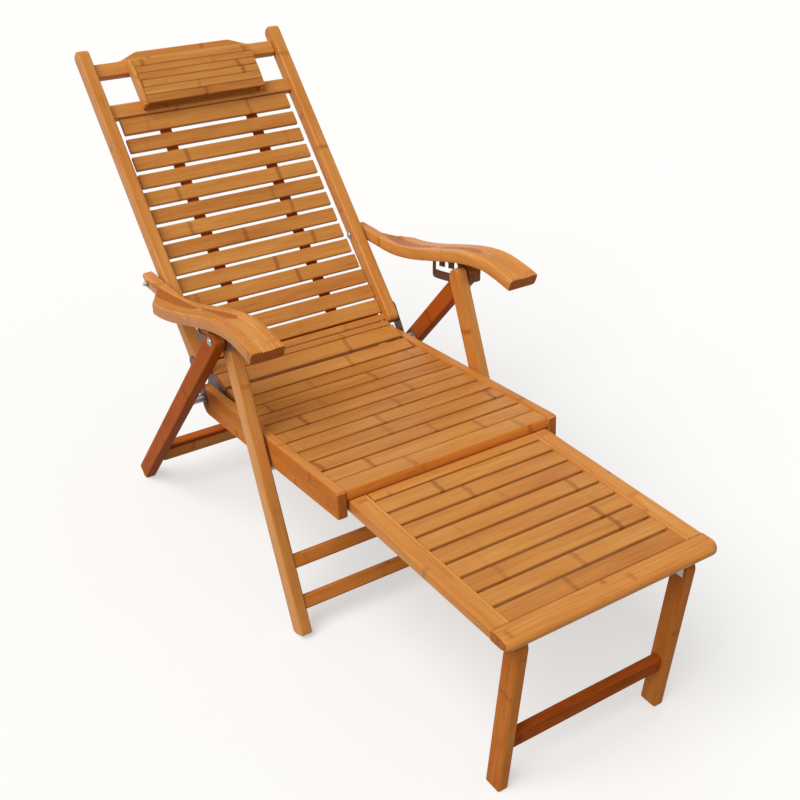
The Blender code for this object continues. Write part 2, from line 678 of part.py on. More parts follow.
def build_backrest(frame, wood, dark_wood, steel, brown_steel):
    """Stiles, rails, slats on two strips, the headrest, hinge plates and arm bolts."""
    stile_back = STILE_FRONT - STILE_DEPTH
    outline = rounded([
        (stile_back, STILE_BOTTOM, STILE_END_R),
        (STILE_FRONT, STILE_BOTTOM, STILE_END_R),
        (STILE_FRONT, STILE_TOP, STILE_END_R),
        (stile_back, STILE_TOP, STILE_END_R),
    ])
    hinge_end_r = (STILE_DEPTH - 2 * SOFT_EDGE) / 2
    hinge_outline = round_ended((0.0, 0.0), HINGE_PLATE_R,
                                (STILE_FRONT - STILE_DEPTH / 2, HINGE_PLATE_UP), hinge_end_r)
    for name, side in SIDES:
        stile = prism(outline, side * STILE_IN, side * STILE_OUT)
        stile = place(f"stile_{name}", stile, wood, frame, soft=SOFT_EDGE)
        drill(stile, frame, ARM_PIVOT_FORWARD, ARM_PIVOT_UP, BOLT_R + RUN,
              side * (STILE_IN - STILE_T), side * (STILE_OUT + STILE_T))
        plate = prism(hinge_outline, side * HINGE_PLATE_IN, side * HINGE_PLATE_OUT)
        plate = place(f"hinge_plate_{name}", plate, brown_steel, frame)
        drill(plate, frame, 0.0, 0.0, BOLT_R + RUN,
              side * (HINGE_PLATE_IN - RAIL_T), side * (HINGE_PLATE_OUT + RAIL_T))
        build_arm_bolt(name, side, frame, steel)

    reach = STILE_IN - FIT
    cross_front = STILE_FRONT - CROSS_RECESS
    cross_back = cross_front - CROSS_T
    build_crest_rail(frame, wood, cross_front, cross_back, reach)
    head_rail = box(cross_back, cross_front, -reach, reach, HEAD_RAIL_BOTTOM, HEAD_RAIL_TOP)
    place("head_rail", head_rail, wood, frame, soft=SOFT_EDGE)

    slat_front = STILE_FRONT - BACK_SLAT_RECESS
    strip_front = slat_front - BACK_SLAT_T - FIT
    lower_front = STILE_FRONT - LOWER_RAIL_RECESS
    lower_back = lower_front - LOWER_RAIL_T
    lower_rail = [
        (lower_front, LOWER_RAIL_BOTTOM),
        (lower_front, LOWER_RAIL_TOP),
        (lower_back, LOWER_RAIL_TOP),
        (lower_back, LOWER_RAIL_BOTTOM + LOWER_RAIL_HEEL),
    ]
    place("lower_rail", prism(lower_rail, -reach, reach), wood, frame, soft=SLAT_EDGE)
    for name, side in SIDES:
        strip = box(strip_front - STRIP_T, strip_front, side * STRIP_OUT - STRIP_W / 2,
                    side * STRIP_OUT + STRIP_W / 2, LOWER_RAIL_TOP + FIT, HEAD_RAIL_BOTTOM - FIT)
        place(f"back_strip_{name}", strip, dark_wood, frame)
    half_slat = STILE_IN - BACK_SLAT_END
    pitch = (FIRST_SLAT - LAST_SLAT) / (BACK_SLATS - 1)
    for index in range(BACK_SLATS):
        slat = box(slat_front - BACK_SLAT_T, slat_front, -half_slat, half_slat,
                   -BACK_SLAT_W / 2, BACK_SLAT_W / 2)
        share = index / (BACK_SLATS - 1)
        up = FIRST_SLAT - index * pitch - BACK_SLAT_SAG * 4 * share * (1 - share)
        place(f"back_slat_{index + 1:02d}", slat, wood, frame, at=(0.0, 0.0, up), soft=SLAT_EDGE)
    build_headrest(frame, wood, cross_front + FIT)


def build_arm_bolt(name, side, frame, steel):
    """A bolt through stile and arm, with a collar between them and a nut outside."""
    head_out = STILE_IN - FIT
    collar_in = STILE_OUT + FIT
    collar_out = ARM_IN - FIT
    nut_in = TONGUE_OUT + FIT
    bolt = turned([
        (side * (head_out - BOLT_HEAD_T), BOLT_HEAD_R),
        (side * head_out, BOLT_HEAD_R),
        (side * head_out, BOLT_R),
        (side * collar_in, BOLT_R),
        (side * collar_in, COLLAR_R),
        (side * collar_out, COLLAR_R),
        (side * collar_out, BOLT_R),
        (side * nut_in, BOLT_R),
        (side * nut_in, BOLT_HEAD_R),
        (side * (nut_in + BOLT_HEAD_T), BOLT_HEAD_R),
        (side * (nut_in + BOLT_HEAD_T), BOLT_R),
        (side * (nut_in + 2 * BOLT_HEAD_T), BOLT_R),
    ])
    place(f"arm_bolt_{name}", bolt, steel, frame, at=(ARM_PIVOT_FORWARD, 0.0, ARM_PIVOT_UP))


def build_crest_rail(frame, wood, front, back, reach):
    """The top rail, with a flat hump in the middle of its upper edge."""
    hump = CREST_TOP + CREST_HUMP
    flat = CREST_FLAT / 2
    shape = [
        (-reach, CREST_BOTTOM),
        (reach, CREST_BOTTOM),
        (reach, CREST_TOP),
        (flat + CREST_SLOPE, CREST_TOP),
        (flat, hump),
        (-flat, hump),
        (-flat - CREST_SLOPE, CREST_TOP),
        (-reach, CREST_TOP),
    ]
    bm = loft([[(x, y, z) for y, z in shape] for x in (back, front)])
    place("crest_rail", bm, wood, frame, soft=SOFT_EDGE)


def headrest_front(share):
    """Front of the headrest: (forward of its back, up from its bottom) at a share of its height."""
    straight = HEADREST_BOTTOM_T + (HEADREST_TOP_T - HEADREST_BOTTOM_T) * share
    return straight + HEADREST_BULGE * 4 * share * (1 - share), HEADREST_H * share


def build_headrest(frame, wood, back):
    """A bowed pad of flat strips."""
    outline = [(back, HEADREST_BOTTOM + HEADREST_H), (back, HEADREST_BOTTOM)]
    for index in range(HEADREST_STRIPS + 1):
        forward, up = headrest_front(index / HEADREST_STRIPS)
        outline.append((back + forward, HEADREST_BOTTOM + up))
    place("headrest", prism(outline, -HEADREST_W / 2, HEADREST_W / 2), wood, frame, soft=SLAT_EDGE)


def arm_middle(x):
    """Height of the arm's middle at a place along it, in the arm's axes."""
    share = min(max((x - ARM_RISE_FROM) / (ARM_RISE_TO - ARM_RISE_FROM), 0.0), 1.0)
    past = max((x - ARM_RISE_TO) / (ARM_FRONT - ARM_RISE_TO), 0.0)
    return ARM_RISE * share * share * (3 - 2 * share) - ARM_DROP * past * past


def arm_outer(x):
    """Outer edge of the arm: a tongue that widens by a hollow curve to the full width."""
    share = min(max((x - TONGUE_END) / (HORN_AT - TONGUE_END), 0.0), 1.0)
    return TONGUE_OUT + (ARM_OUT - TONGUE_OUT) * share ** HOLLOW


def round_off(distance, radius, half):
    """Half-thickness of an end that is rounded to a radius, at a distance from its tip."""
    if distance >= radius:
        return half
    return half - radius + math.sqrt(radius * radius - (radius - distance) ** 2)


def arm_places():
    """Stations along the arm, closer together on its rounded ends and its hollow curve."""
    rear_r = ARM_T / 2
    places = {-ARM_REAR + rear_r * (1 - math.cos(math.radians(angle))) for angle in (15, 35, 55, 75)}
    places |= {ARM_FRONT - ARM_NOSE_R * (1 - math.cos(math.radians(angle))) for angle in (0, 35, 65)}
    hollow = HORN_AT - TONGUE_END
    places |= {TONGUE_END + hollow * share for share in (0.0, 0.25, 0.5, 0.75, 1.0)}
    body_from = -ARM_REAR + rear_r
    body_to = ARM_FRONT - ARM_NOSE_R
    for index in range(ARM_STATIONS + 1):
        places.add(body_from + (body_to - body_from) * index / ARM_STATIONS)
    return sorted(places)


def build_arm(name, side, frame, wood):
    """An S-curved plank with a rounded tongue at the stile and a groove for its notch plate."""
    sections = []
    for x in arm_places():
        half = round_off(x + ARM_REAR, ARM_T / 2, ARM_T / 2)
        half = min(half, round_off(ARM_FRONT - x, ARM_NOSE_R, ARM_T / 2))
        edge = min(ARM_EDGE, half / 2)
        low = arm_middle(x) - half
        high = arm_middle(x) + half
        outer = arm_outer(x)
        sections.append([
            (x, side * y, z) for y, z in (
                (ARM_IN, low + edge),
                (ARM_IN + edge, low),
                (outer - edge, low),
                (outer, low + edge),
                (outer, high - edge),
                (outer - edge, high),
                (ARM_IN + edge, high),
                (ARM_IN, high - edge),
            )
        ])
    arm = place(f"arm_{name}", loft(sections), wood, frame)
    drill(arm, frame, 0.0, 0.0, BOLT_R + RUN, side * (ARM_IN - ARM_W), side * (ARM_OUT + ARM_W))
    groove = prism(plate_outline(FIT), side * (PLATE_IN - FIT), side * (PLATE_OUT + FIT))
    shape_by(arm, groove, frame)


def pin_in_arm(recline):
    """Where the leg pin stands in the arm's axes when the backrest leans back by an angle."""
    pin = Vector((LEG_PIN_FORWARD, LEG_PIN_Z - SEAT_PIVOT_Z))
    arm_pivot = turn_back((ARM_PIVOT_FORWARD, ARM_PIVOT_UP), BACK_LEAN + recline)
    return turn_back(pin - arm_pivot, -ARM_SHARE * recline)


def recline_at(steps):
    """Angle by which the backrest leans back when the pin is a number of notches from rest."""
    target = pin_in_arm(0.0).x + steps * NOTCH_PITCH
    low, high = math.radians(-60), math.radians(40)
    while high - low > 1e-7:
        middle = (low + high) / 2
        if pin_in_arm(middle).x < target:
            low = middle
        else:
            high = middle
    return low


def channel_z(x):
    """Height of the pin's path at a place along the arm."""
    return pin_in_arm(recline_at((x - pin_in_arm(0.0).x) / NOTCH_PITCH)).y


def notch_places():
    rest = pin_in_arm(0.0).x
    return [rest + (index - REST_NOTCH) * NOTCH_PITCH for index in range(NOTCHES)]


def plate_stations(margin):
    """Places along the notch plate, from its rear end to its front end."""
    notches = notch_places()
    start = notches[0] - NOTCH_W / 2 - margin
    length = notches[-1] + NOTCH_W / 2 + margin - start
    return [start + length * index / (PLATE_STATIONS - 1) for index in range(PLATE_STATIONS)]


def plate_outline(grow):
    """The notch plate, let into the arm's underside, or grown by a gap as the arm's groove."""
    places = plate_stations(PLATE_WALL + grow)
    drop = BOLT_R + CHANNEL_PLAY + PLATE_RIM
    corners = []
    for index, x in enumerate(places):
        end = index in (0, len(places) - 1)
        corners.append((x, channel_z(x) - drop, PLATE_CORNER_R if end else 0.0))
    seat = PLATE_SEAT + grow - ARM_T / 2
    for x in reversed(places):
        corners.append((x, arm_middle(x) + seat, 0.0))
    return rounded(corners)


def slot_outline():
    """The plate's slot: a channel along the pin's path, with a notch upwards at each step."""
    half_height = BOLT_R + CHANNEL_PLAY
    half = NOTCH_W / 2
    outline = [(x, channel_z(x) - half_height) for x in plate_stations(0.0)]
    for x in reversed(notch_places()):
        top = channel_z(x) + half_height + NOTCH_DEPTH
        outline += [
            (x + half, channel_z(x + half) + half_height),
            (x + half, top - NOTCH_CHAMFER),
            (x + half - NOTCH_CHAMFER, top),
            (x - half + NOTCH_CHAMFER, top),
            (x - half, top - NOTCH_CHAMFER),
            (x - half, channel_z(x - half) + half_height),
        ]
    return outline


def build_notch_plate(name, side, frame, brown_steel):
    """A steel plate under the arm, with the slot that the leg pin runs in."""
    plate = prism(plate_outline(0.0), side * PLATE_IN, side * PLATE_OUT)
    plate = place(f"notch_plate_{name}", plate, brown_steel, frame)
    slot = prism(slot_outline(), side * (PLATE_IN - LEG_T), side * (PLATE_OUT + LEG_T))
    shape_by(plate, slot, frame)


def main():
    for old in list(bpy.data.objects):
        bpy.data.objects.remove(old, do_unlink=True)

    wood = make_material("bamboo", (0.56, 0.24, 0.055), 0.35, 0.0)
    dark_wood = make_material("dark_bamboo", (0.40, 0.12, 0.03), 0.4, 0.0)
    steel = make_material("steel", (0.45, 0.45, 0.45), 0.35, 1.0)
    brown_steel = make_material("brown_steel", (0.10, 0.045, 0.03), 0.45, 0.0)

    stile_end = turn_back((STILE_FRONT - STILE_DEPTH + STILE_END_R, STILE_TOP - STILE_END_R), BACK_LEAN)
    overall_middle = (FOOTREST_REACH + stile_end.x - STILE_END_R) / 2
    root = Frame("lounger", -overall_middle, 0.0, 0.0)
    rear_legs = Frame("rear_legs", LEG_PIN_FORWARD, LEG_PIN_Z, REAR_LEG_LEAN, root.empty)
    front_legs = Frame("front_legs", LEG_PIN_FORWARD, LEG_PIN_Z, -FRONT_LEG_LEAN, root.empty)
    seat = Frame("seat", 0.0, SEAT_PIVOT_Z, -SEAT_RISE, root.empty)
    backrest = Frame("backrest", 0.0, SEAT_PIVOT_Z, -BACK_LEAN, root.empty)
    arm_x, arm_z = backrest.outside(ARM_PIVOT_FORWARD, ARM_PIVOT_UP)
    slide_peg_z = FOOTREST_TOP_Z - FOOTREST_RAIL_H / 2
    footrest = Frame("footrest", FOOTREST_REAR + SLIDE_PEG_INSET, slide_peg_z, 0.0, root.empty)
    hinge_z = FOOTREST_TOP_Z - FOOTREST_RAIL_H - FOOT_LEG_PLAY - FOOT_LEG_DEPTH / 2
    hinge_x = FOOTREST_REACH - FOOT_LEG_SETBACK
    footrest_legs = Frame("footrest_legs", hinge_x, hinge_z, FOOT_LEG_LEAN, root.empty)

    build_rear_legs(rear_legs, wood, steel)
    peg_drop = seat_peg_drop(front_legs, seat)
    build_front_legs(front_legs, peg_drop, wood, steel)
    peg_at = seat.inside(*front_legs.outside(0.0, -peg_drop))
    slide_peg_at = seat.inside(footrest.x, footrest.z)
    build_seat(seat, wood, peg_at, slide_peg_at)
    build_footrest(footrest, footrest_legs, wood, steel)
    build_footrest_legs(footrest_legs, wood)
    build_backrest(backrest, wood, dark_wood, steel, brown_steel)
    for name, side in SIDES:
        arm = Frame(f"arm_pivot_{name}", arm_x, arm_z, 0.0, root.empty)
        build_arm(name, side, arm, wood)
        build_notch_plate(name, side, arm, brown_steel)


main()
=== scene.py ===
# %% [markdown]
# # A folding bamboo sun lounger
# The real lounger is a frame of laminated bamboo: two crossed pairs of legs, a
# slatted seat and backrest, wavy arms on notched steel plates, and a footrest that
# slides out from under the seat. A CAD frame already fixes its sizes and pivots, so
# this lesson only dresses it. Each board is made again with rounded edges and real
# joinery, and each surface gets the finish that the real one has.

# %% Load the CAD frame
import json
import math

import bmesh
import bpy
from mathutils import Matrix, Vector


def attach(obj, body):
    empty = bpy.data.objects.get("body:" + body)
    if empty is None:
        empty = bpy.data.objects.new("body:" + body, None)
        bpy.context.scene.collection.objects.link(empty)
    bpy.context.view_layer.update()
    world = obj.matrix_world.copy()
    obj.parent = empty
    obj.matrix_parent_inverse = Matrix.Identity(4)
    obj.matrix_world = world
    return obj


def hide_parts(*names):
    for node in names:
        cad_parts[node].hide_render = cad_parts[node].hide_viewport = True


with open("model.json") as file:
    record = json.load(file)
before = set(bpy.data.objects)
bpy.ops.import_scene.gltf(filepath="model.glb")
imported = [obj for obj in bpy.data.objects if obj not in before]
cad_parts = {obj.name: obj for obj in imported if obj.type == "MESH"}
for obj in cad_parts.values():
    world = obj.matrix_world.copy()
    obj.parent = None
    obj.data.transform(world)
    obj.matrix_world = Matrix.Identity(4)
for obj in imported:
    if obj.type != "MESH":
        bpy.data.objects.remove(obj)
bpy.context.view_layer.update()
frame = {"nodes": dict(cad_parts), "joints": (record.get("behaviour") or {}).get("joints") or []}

# %% [markdown]
# ## Camera
# The photograph looks down on the foot end from the sitter's right. The camera could
# be placed by eye, but the feet, pivots and corners of the frame were matched to the
# picture first, and these numbers are the camera that fits them best. The lens is a
# little longer than normal, so the lines run together only slowly.

# %% Put the camera where the photographer stood
camera_data = bpy.data.cameras.new("photo_camera")
camera_data.sensor_width = 36.0
camera_data.lens = 51.84
camera = bpy.data.objects.new("photo_camera", camera_data)
camera.location = (1.84605, -1.1170, 1.5943)
looking = Vector((-0.7248, 0.4788, -0.4953))
camera.rotation_euler = looking.to_track_quat("-Z", "Y").to_euler()
scene = bpy.context.scene
scene.collection.objects.link(camera)
scene.camera = camera
scene.view_settings.view_transform = "Standard"
print("camera looks down by", round(math.degrees(math.asin(-looking.z)), 1), "degrees")

# %% [markdown]
# ## Colours and nodes
# Paint shops and screens give colours as sRGB hex values, but light adds up in linear
# numbers, so one function turns the first into the second. Materials are graphs of
# nodes, which could be clicked together by hand. Here one small function adds a node,
# sets it and joins it to the nodes before it, so a graph reads as a list of steps.


# %% Helpers for every material
def linear(hex_colour):
    """An sRGB hex colour as linear red, green, blue and alpha."""
    shares = [int(hex_colour[index:index + 2], 16) / 255 for index in (1, 3, 5)]
    bent = [((share + 0.055) / 1.055) ** 2.4 if share > 0.04045 else share / 12.92 for share in shares]
    return (*bent, 1.0)


def set_inputs(tree, node, inputs):
    """Give a node its inputs: another node's output is linked, and a plain value is set."""
    for socket, source in inputs.items():
        if isinstance(source, bpy.types.NodeSocket):
            tree.links.new(source, node.inputs[socket])
        else:
            node.inputs[socket].default_value = source


def add_node(tree, kind, inputs=None, **settings):
    """Add a node with its settings and its inputs."""
    node = tree.nodes.new("ShaderNode" + kind)
    for name, value in settings.items():
        setattr(node, name, value)
    set_inputs(tree, node, inputs or {})
    return node


def new_material(name):
    """A new material, its tree of nodes and the shader in it."""
    material = bpy.data.materials.new(name)
    material.use_nodes = True
    tree = material.node_tree
    return material, tree, tree.nodes["Principled BSDF"]


print("mid grey #808080 is", round(linear("#808080")[0], 3), "in linear light")

# %% [markdown]
# ## Studio
# The lounger stands on a pale seamless floor in soft light. A white floor would throw
# so much light up that the legs lose their shade, so only the camera, mirrors and
# glass see it white: for the light that bounces on, it is a mid grey. Half of the
# white is its own glow, which keeps the lounger's shadow but makes it light. One broad
# far lamp stands high on the sitter's right, and a weak even sky fills the shadows.


# %% Floor
def seen_directly(tree):
    """1 for the camera, mirrors and glass, and 0 for the light that bounces on."""
    path = add_node(tree, "LightPath")
    seen = add_node(tree, "Math", {0: path.outputs["Is Camera Ray"], 1: path.outputs["Is Glossy Ray"]},
                    operation="MAXIMUM")
    seen = add_node(tree, "Math", {0: seen.outputs[0], 1: path.outputs["Is Transmission Ray"]},
                    operation="MAXIMUM")
    return seen.outputs[0]


FLOOR_RADIUS = 14.0             # metres, so that its edge is outside every view
PAPER_WHITE = linear("#FBFAF8")
OWN_GLOW = 0.5                  # share of the white that is the floor's own glow
floor_mesh = bmesh.new()
bmesh.ops.create_circle(floor_mesh, cap_ends=True, segments=96, radius=FLOOR_RADIUS)
floor_data = bpy.data.meshes.new("studio_floor")
floor_mesh.to_mesh(floor_data)
floor_mesh.free()
floor = bpy.data.objects.new("studio_floor", floor_data)
scene.collection.objects.link(floor)

matt_paper = bpy.data.materials.new("matt_white_paper")
matt_paper.use_nodes = True
tree = matt_paper.node_tree
tree.nodes.clear()
sheet = add_node(tree, "BsdfDiffuse", {"Color": PAPER_WHITE})
glow = add_node(tree, "Emission", {"Color": PAPER_WHITE, "Strength": 1.0})
white = add_node(tree, "MixShader", {0: OWN_GLOW, 1: sheet.outputs[0], 2: glow.outputs[0]})
grey = add_node(tree, "BsdfDiffuse", {"Color": linear("#8E8B87")})
paper = add_node(tree, "MixShader", {0: seen_directly(tree), 1: grey.outputs[0], 2: white.outputs[0]})
add_node(tree, "OutputMaterial", {"Surface": paper.outputs[0]})
floor_data.materials.append(matt_paper)
print("floor radius", FLOOR_RADIUS, "m")

# %% Sky and lamp
world = bpy.data.worlds.new("soft_studio")
world.use_nodes = True
scene.world = world
tree = world.node_tree
tree.nodes.clear()
fill = add_node(tree, "Background", {"Color": linear("#FFFFFF"), "Strength": 0.42})
backdrop = add_node(tree, "Background", {"Color": linear("#FFFFFF"), "Strength": 1.0})
sky = add_node(tree, "MixShader", {0: seen_directly(tree), 1: fill.outputs[0], 2: backdrop.outputs[0]})
add_node(tree, "OutputWorld", {"Surface": sky.outputs[0]})

key_data = bpy.data.lights.new("key_lamp", "SUN")
key_data.energy = 2.6
key_data.angle = math.radians(50)
key = bpy.data.objects.new("key_lamp", key_data)
towards_lamp = Vector((0.15, -0.60, 0.78))
key.rotation_euler = towards_lamp.to_track_quat("Z", "Y").to_euler()
scene.collection.objects.link(key)
print("key lamp stands", round(math.degrees(math.asin(towards_lamp.normalized().z))), "degrees high")

# %% [markdown]
# ## Lacquered bamboo
# The boards are carbonised bamboo: split canes, steamed until they turn honey brown,
# glued side by side into boards, planed, sanded and sprayed with clear lacquer. What
# the eye gets is fine straight fibre along the board, a darker band every 20 to 30 cm
# where the cane had a joint, strips of slightly different tone, and a wet shine on
# top. An even wood texture could be wrapped round each board, but bamboo follows the
# board's own length, so every board carries a "grain" attribute with each point's
# place in metres along, across and into the board, and the nodes read that.

# %% Sizes of the bamboo's pattern
MM = 0.001
BOARD_SPACING = 10.0            # grain numbers of two boards are this far apart, in metres
CANE_JOINT_SPACING = 260 * MM   # between the joints of a cane
CANE_JOINT_BAND = 15 * MM       # width of the dark band at a joint
FIBRE_WIDTH = 3.2 * MM          # real fibres are 0.5 mm; drawn coarser, so that they show
FIBRE_LENGTH = 85 * MM
CLOUD_WIDTH = 26 * MM           # slow changes of tone inside a strip
CLOUD_LENGTH = 210 * MM
GLUE_LINE = 0.9 * MM            # real ones are 0.1 mm; drawn coarser, so that they show
FIRST_JOINT_SPREAD = 17.0       # canes over which the strips' first joints are spread
JOINT_WANDER = 0.05             # how far the clouds push a joint along, in canes
BAND_CORE = 0.35                # share of a joint's band that is fully dark
TONE_START = -0.02              # what fibre, clouds and each strip's own shade add to the tone
FIBRE_SHARE, CLOUD_SHARE, STRIP_SHARE = 0.55, 0.50, 0.20
RAMP_START, RAMP_SPAN = 0.22, 0.56
LACQUER_IOR = 1.5               # of clear lacquer, and of sprayed paint too
SLAT_LENGTH = 450 * MM          # about, on the backrest
print("about", round(SLAT_LENGTH / CANE_JOINT_SPACING, 1), "cane joints on a slat")


# %% Where a point lies in its board
def place_in_board(tree, strip_width):
    """A point's grain, how far along it lies, its board, its place in strips and its strip."""
    grain = add_node(tree, "Attribute", attribute_name="grain")
    place = add_node(tree, "SeparateXYZ", {0: grain.outputs["Vector"]})
    along, across = place.outputs["X"], place.outputs["Y"]
    board = add_node(tree, "Math", {0: along, 1: 1 / BOARD_SPACING}, operation="MULTIPLY")
    board = add_node(tree, "Math", {0: board.outputs[0]}, operation="ROUND")
    in_strips = add_node(tree, "Math", {0: across, 1: 1 / strip_width}, operation="MULTIPLY")
    strip = add_node(tree, "Math", {0: in_strips.outputs[0]}, operation="ROUND")
    return grain.outputs["Vector"], along, board.outputs[0], in_strips.outputs[0], strip.outputs[0]


print("grain of two boards lies", BOARD_SPACING, "m apart")


# %% Joints of the cane
def cane_joints(tree, along, board, strip, first_joint, cloud):
    """How strong a joint is at a point: each strip starts at its own place, and some are faint."""
    shift = add_node(tree, "Math", {0: first_joint, 1: FIRST_JOINT_SPREAD}, operation="MULTIPLY")
    canes = add_node(tree, "Math", {0: along, 1: 1 / CANE_JOINT_SPACING, 2: shift.outputs[0]},
                     operation="MULTIPLY_ADD")
    wander = add_node(tree, "Math", {0: cloud, 1: JOINT_WANDER, 2: canes.outputs[0]},
                      operation="MULTIPLY_ADD")
    share = add_node(tree, "Math", {0: wander.outputs[0]}, operation="FRACT")
    off_middle = add_node(tree, "Math", {0: share.outputs[0], 1: 0.5}, operation="SUBTRACT")
    distance = add_node(tree, "Math", {0: off_middle.outputs[0]}, operation="ABSOLUTE")
    half_band = 0.5 * CANE_JOINT_BAND / CANE_JOINT_SPACING
    band = add_node(tree, "MapRange", {"Value": distance.outputs[0], "From Min": half_band,
                                       "From Max": BAND_CORE * half_band, "To Min": 0.0, "To Max": 1.0})
    cane = add_node(tree, "Math", {0: wander.outputs[0]}, operation="FLOOR")
    cane_key = add_node(tree, "CombineXYZ", {"X": board, "Y": strip, "Z": cane.outputs[0]})
    chance = add_node(tree, "TexWhiteNoise", {"Vector": cane_key.outputs[0]}, noise_dimensions="3D")
    strength = add_node(tree, "MapRange", {"Value": chance.outputs["Value"], "From Min": 0.2,
                                           "From Max": 0.9, "To Min": 0.10, "To Max": 0.65})
    joint = add_node(tree, "Math", {0: band.outputs[0], 1: strength.outputs[0]}, operation="MULTIPLY")
    return joint.outputs[0]


print("joints of", round(CANE_JOINT_BAND / MM), "mm every", round(CANE_JOINT_SPACING / MM), "mm")


# %% One graph for all bamboo
# The colour after the joint's is a painted dark reflection, laid only where a piece marks it: the arms'
# hollows.
def lacquered_bamboo(name, tones, joint_tone, painted_reflection_tone, strip_width, roughness, shine):
    """Carbonised bamboo in clear lacquer; tones run from the darkest fibre to the palest."""
    material, tree, shader = new_material(name)
    grain, along, board, in_strips, strip = place_in_board(tree, strip_width)
    strip_key = add_node(tree, "CombineXYZ", {"X": board, "Y": strip})
    chance = add_node(tree, "TexWhiteNoise", {"Vector": strip_key.outputs[0]}, noise_dimensions="3D")
    draws = add_node(tree, "SeparateColor", {0: chance.outputs["Color"]})

    # Fibre and slow clouds, stretched along the board.
    stretch = (1 / FIBRE_LENGTH, 1 / FIBRE_WIDTH, 1 / FIBRE_WIDTH)
    fine = add_node(tree, "VectorMath", {0: grain, 1: stretch}, operation="MULTIPLY")
    fibre = add_node(tree, "TexNoise", {"Vector": fine.outputs[0], "Scale": 1.0, "Detail": 3.0,
                                        "Roughness": 0.62})
    stretch = (1 / CLOUD_LENGTH, 1 / CLOUD_WIDTH, 1 / CLOUD_WIDTH)
    slow = add_node(tree, "VectorMath", {0: grain, 1: stretch}, operation="MULTIPLY")
    cloud = add_node(tree, "TexNoise", {"Vector": slow.outputs[0], "Scale": 1.0, "Detail": 2.0})
    joint = cane_joints(tree, along, board, strip, draws.outputs["Red"], cloud.outputs["Fac"])

    # Tone: fibre, cloud and the strip's own shade together pick a place on the ramp.
    tone = add_node(tree, "Math", {0: fibre.outputs["Fac"], 1: FIBRE_SHARE, 2: TONE_START},
                    operation="MULTIPLY_ADD")
    tone = add_node(tree, "Math", {0: cloud.outputs["Fac"], 1: CLOUD_SHARE, 2: tone.outputs[0]},
                    operation="MULTIPLY_ADD")
    own_shade = add_node(tree, "Math", {0: draws.outputs["Green"], 1: STRIP_SHARE, 2: -STRIP_SHARE / 2},
                         operation="MULTIPLY_ADD")
    tone = add_node(tree, "Math", {0: tone.outputs[0], 1: own_shade.outputs[0]}, operation="ADD")
    ramp = add_node(tree, "ValToRGB", {"Fac": tone.outputs[0]})
    stops = ramp.color_ramp.elements
    for index, colour in enumerate(tones):
        at = RAMP_START + RAMP_SPAN * index / (len(tones) - 1)
        stop = stops[index] if index < 2 else stops.new(at)
        stop.position = at
        stop.color = linear(colour)

    # Cane joints, glue lines between strips, and a painted dark reflection that only the arms' hollows
    # carry.
    colour = add_node(tree, "Mix", {"Factor": joint, "A": ramp.outputs["Color"],
                                    "B": linear(joint_tone)}, data_type="RGBA")
    in_strip = add_node(tree, "Math", {0: in_strips, 1: strip}, operation="SUBTRACT")
    to_side = add_node(tree, "Math", {0: in_strip.outputs[0]}, operation="ABSOLUTE")
    glue_from = 0.5 - GLUE_LINE / strip_width
    glue = add_node(tree, "MapRange", {"Value": to_side.outputs[0], "From Min": glue_from,
                                       "From Max": 0.5, "To Min": 0.0, "To Max": 0.45})
    colour = add_node(tree, "Mix", {"Factor": glue.outputs[0], "A": colour.outputs["Result"],
                                    "B": linear(joint_tone)}, data_type="RGBA")
    # Painted reflection: the arms mark their hollows with this attribute, and everywhere else it stays 0.
    painted_reflection = add_node(tree, "Attribute", attribute_name="painted_reflection")
    colour = add_node(tree, "Mix", {"Factor": painted_reflection.outputs["Fac"], "A": colour.outputs["Result"],
                                    "B": linear(painted_reflection_tone)}, data_type="RGBA")

    # Lacquer sinks a little into the fibre, so the shine is never quite even.
    gloss = add_node(tree, "MapRange", {"Value": fibre.outputs["Fac"], "From Min": 0.3, "From Max": 0.7,
                                        "To Min": roughness + 0.07, "To Max": roughness - 0.05})
    relief = add_node(tree, "Math", {0: joint, 1: 0.7, 2: fibre.outputs["Fac"]}, operation="MULTIPLY_ADD")
    bump = add_node(tree, "Bump", {"Strength": 0.25, "Distance": 0.3 * MM, "Height": relief.outputs[0]})
    set_inputs(tree, shader, {
        "Base Color": colour.outputs["Result"], "Roughness": gloss.outputs[0],
        "Normal": bump.outputs["Normal"], "IOR": LACQUER_IOR, "Specular IOR Level": shine,
        "Coat Weight": 0.5 * shine, "Coat Roughness": 0.12,
    })
    return material


print("fibre of", round(FIBRE_WIDTH / MM, 1), "mm, clouds of", round(CLOUD_WIDTH / MM), "mm")

# %% [markdown]
# ## Five tones of bamboo
# The slats are split wide, with no glue line on their face. The frame is glued up from
# 21 mm strips and is the palest. The front crossbars and the footrest legs are more
# amber, and the rear legs are stained brown. The amber on the sides and the front of the
# seat, the brown on the rear crossbar's top and the red brown of the strips behind the
# backrest, the darkest, are painted shade. One material with a colour for each object
# would save nodes, but five named ones are easy to change for another wood.

# %% The five bamboos of this lounger
slat_bamboo = lacquered_bamboo(
    "honey_bamboo_slat_clear_lacquered",
    ["#A36129", "#BB7634", "#C8863E", "#D69853"], "#88471A", "#93430F", 160 * MM, 0.36, 0.12)
frame_bamboo = lacquered_bamboo(
    "honey_bamboo_laminated_clear_lacquered",
    ["#AF6926", "#C67D37", "#D18C44", "#DD9F58"], "#9E5A26", "#A2521B", 21 * MM, 0.38, 0.12)
amber_bamboo = lacquered_bamboo(
    "amber_bamboo_laminated_satin_lacquered",
    ["#A85A1E", "#C06E29", "#CC7B33", "#D88D46"], "#964E1C", "#92461A", 21 * MM, 0.45, 0.03)
brown_bamboo = lacquered_bamboo(
    "brown_bamboo_laminated_satin_lacquered",
    ["#8B4012", "#A34D17", "#AF581D", "#BD6728"], "#7A360E", "#7A360E", 21 * MM, 0.48, 0.02)
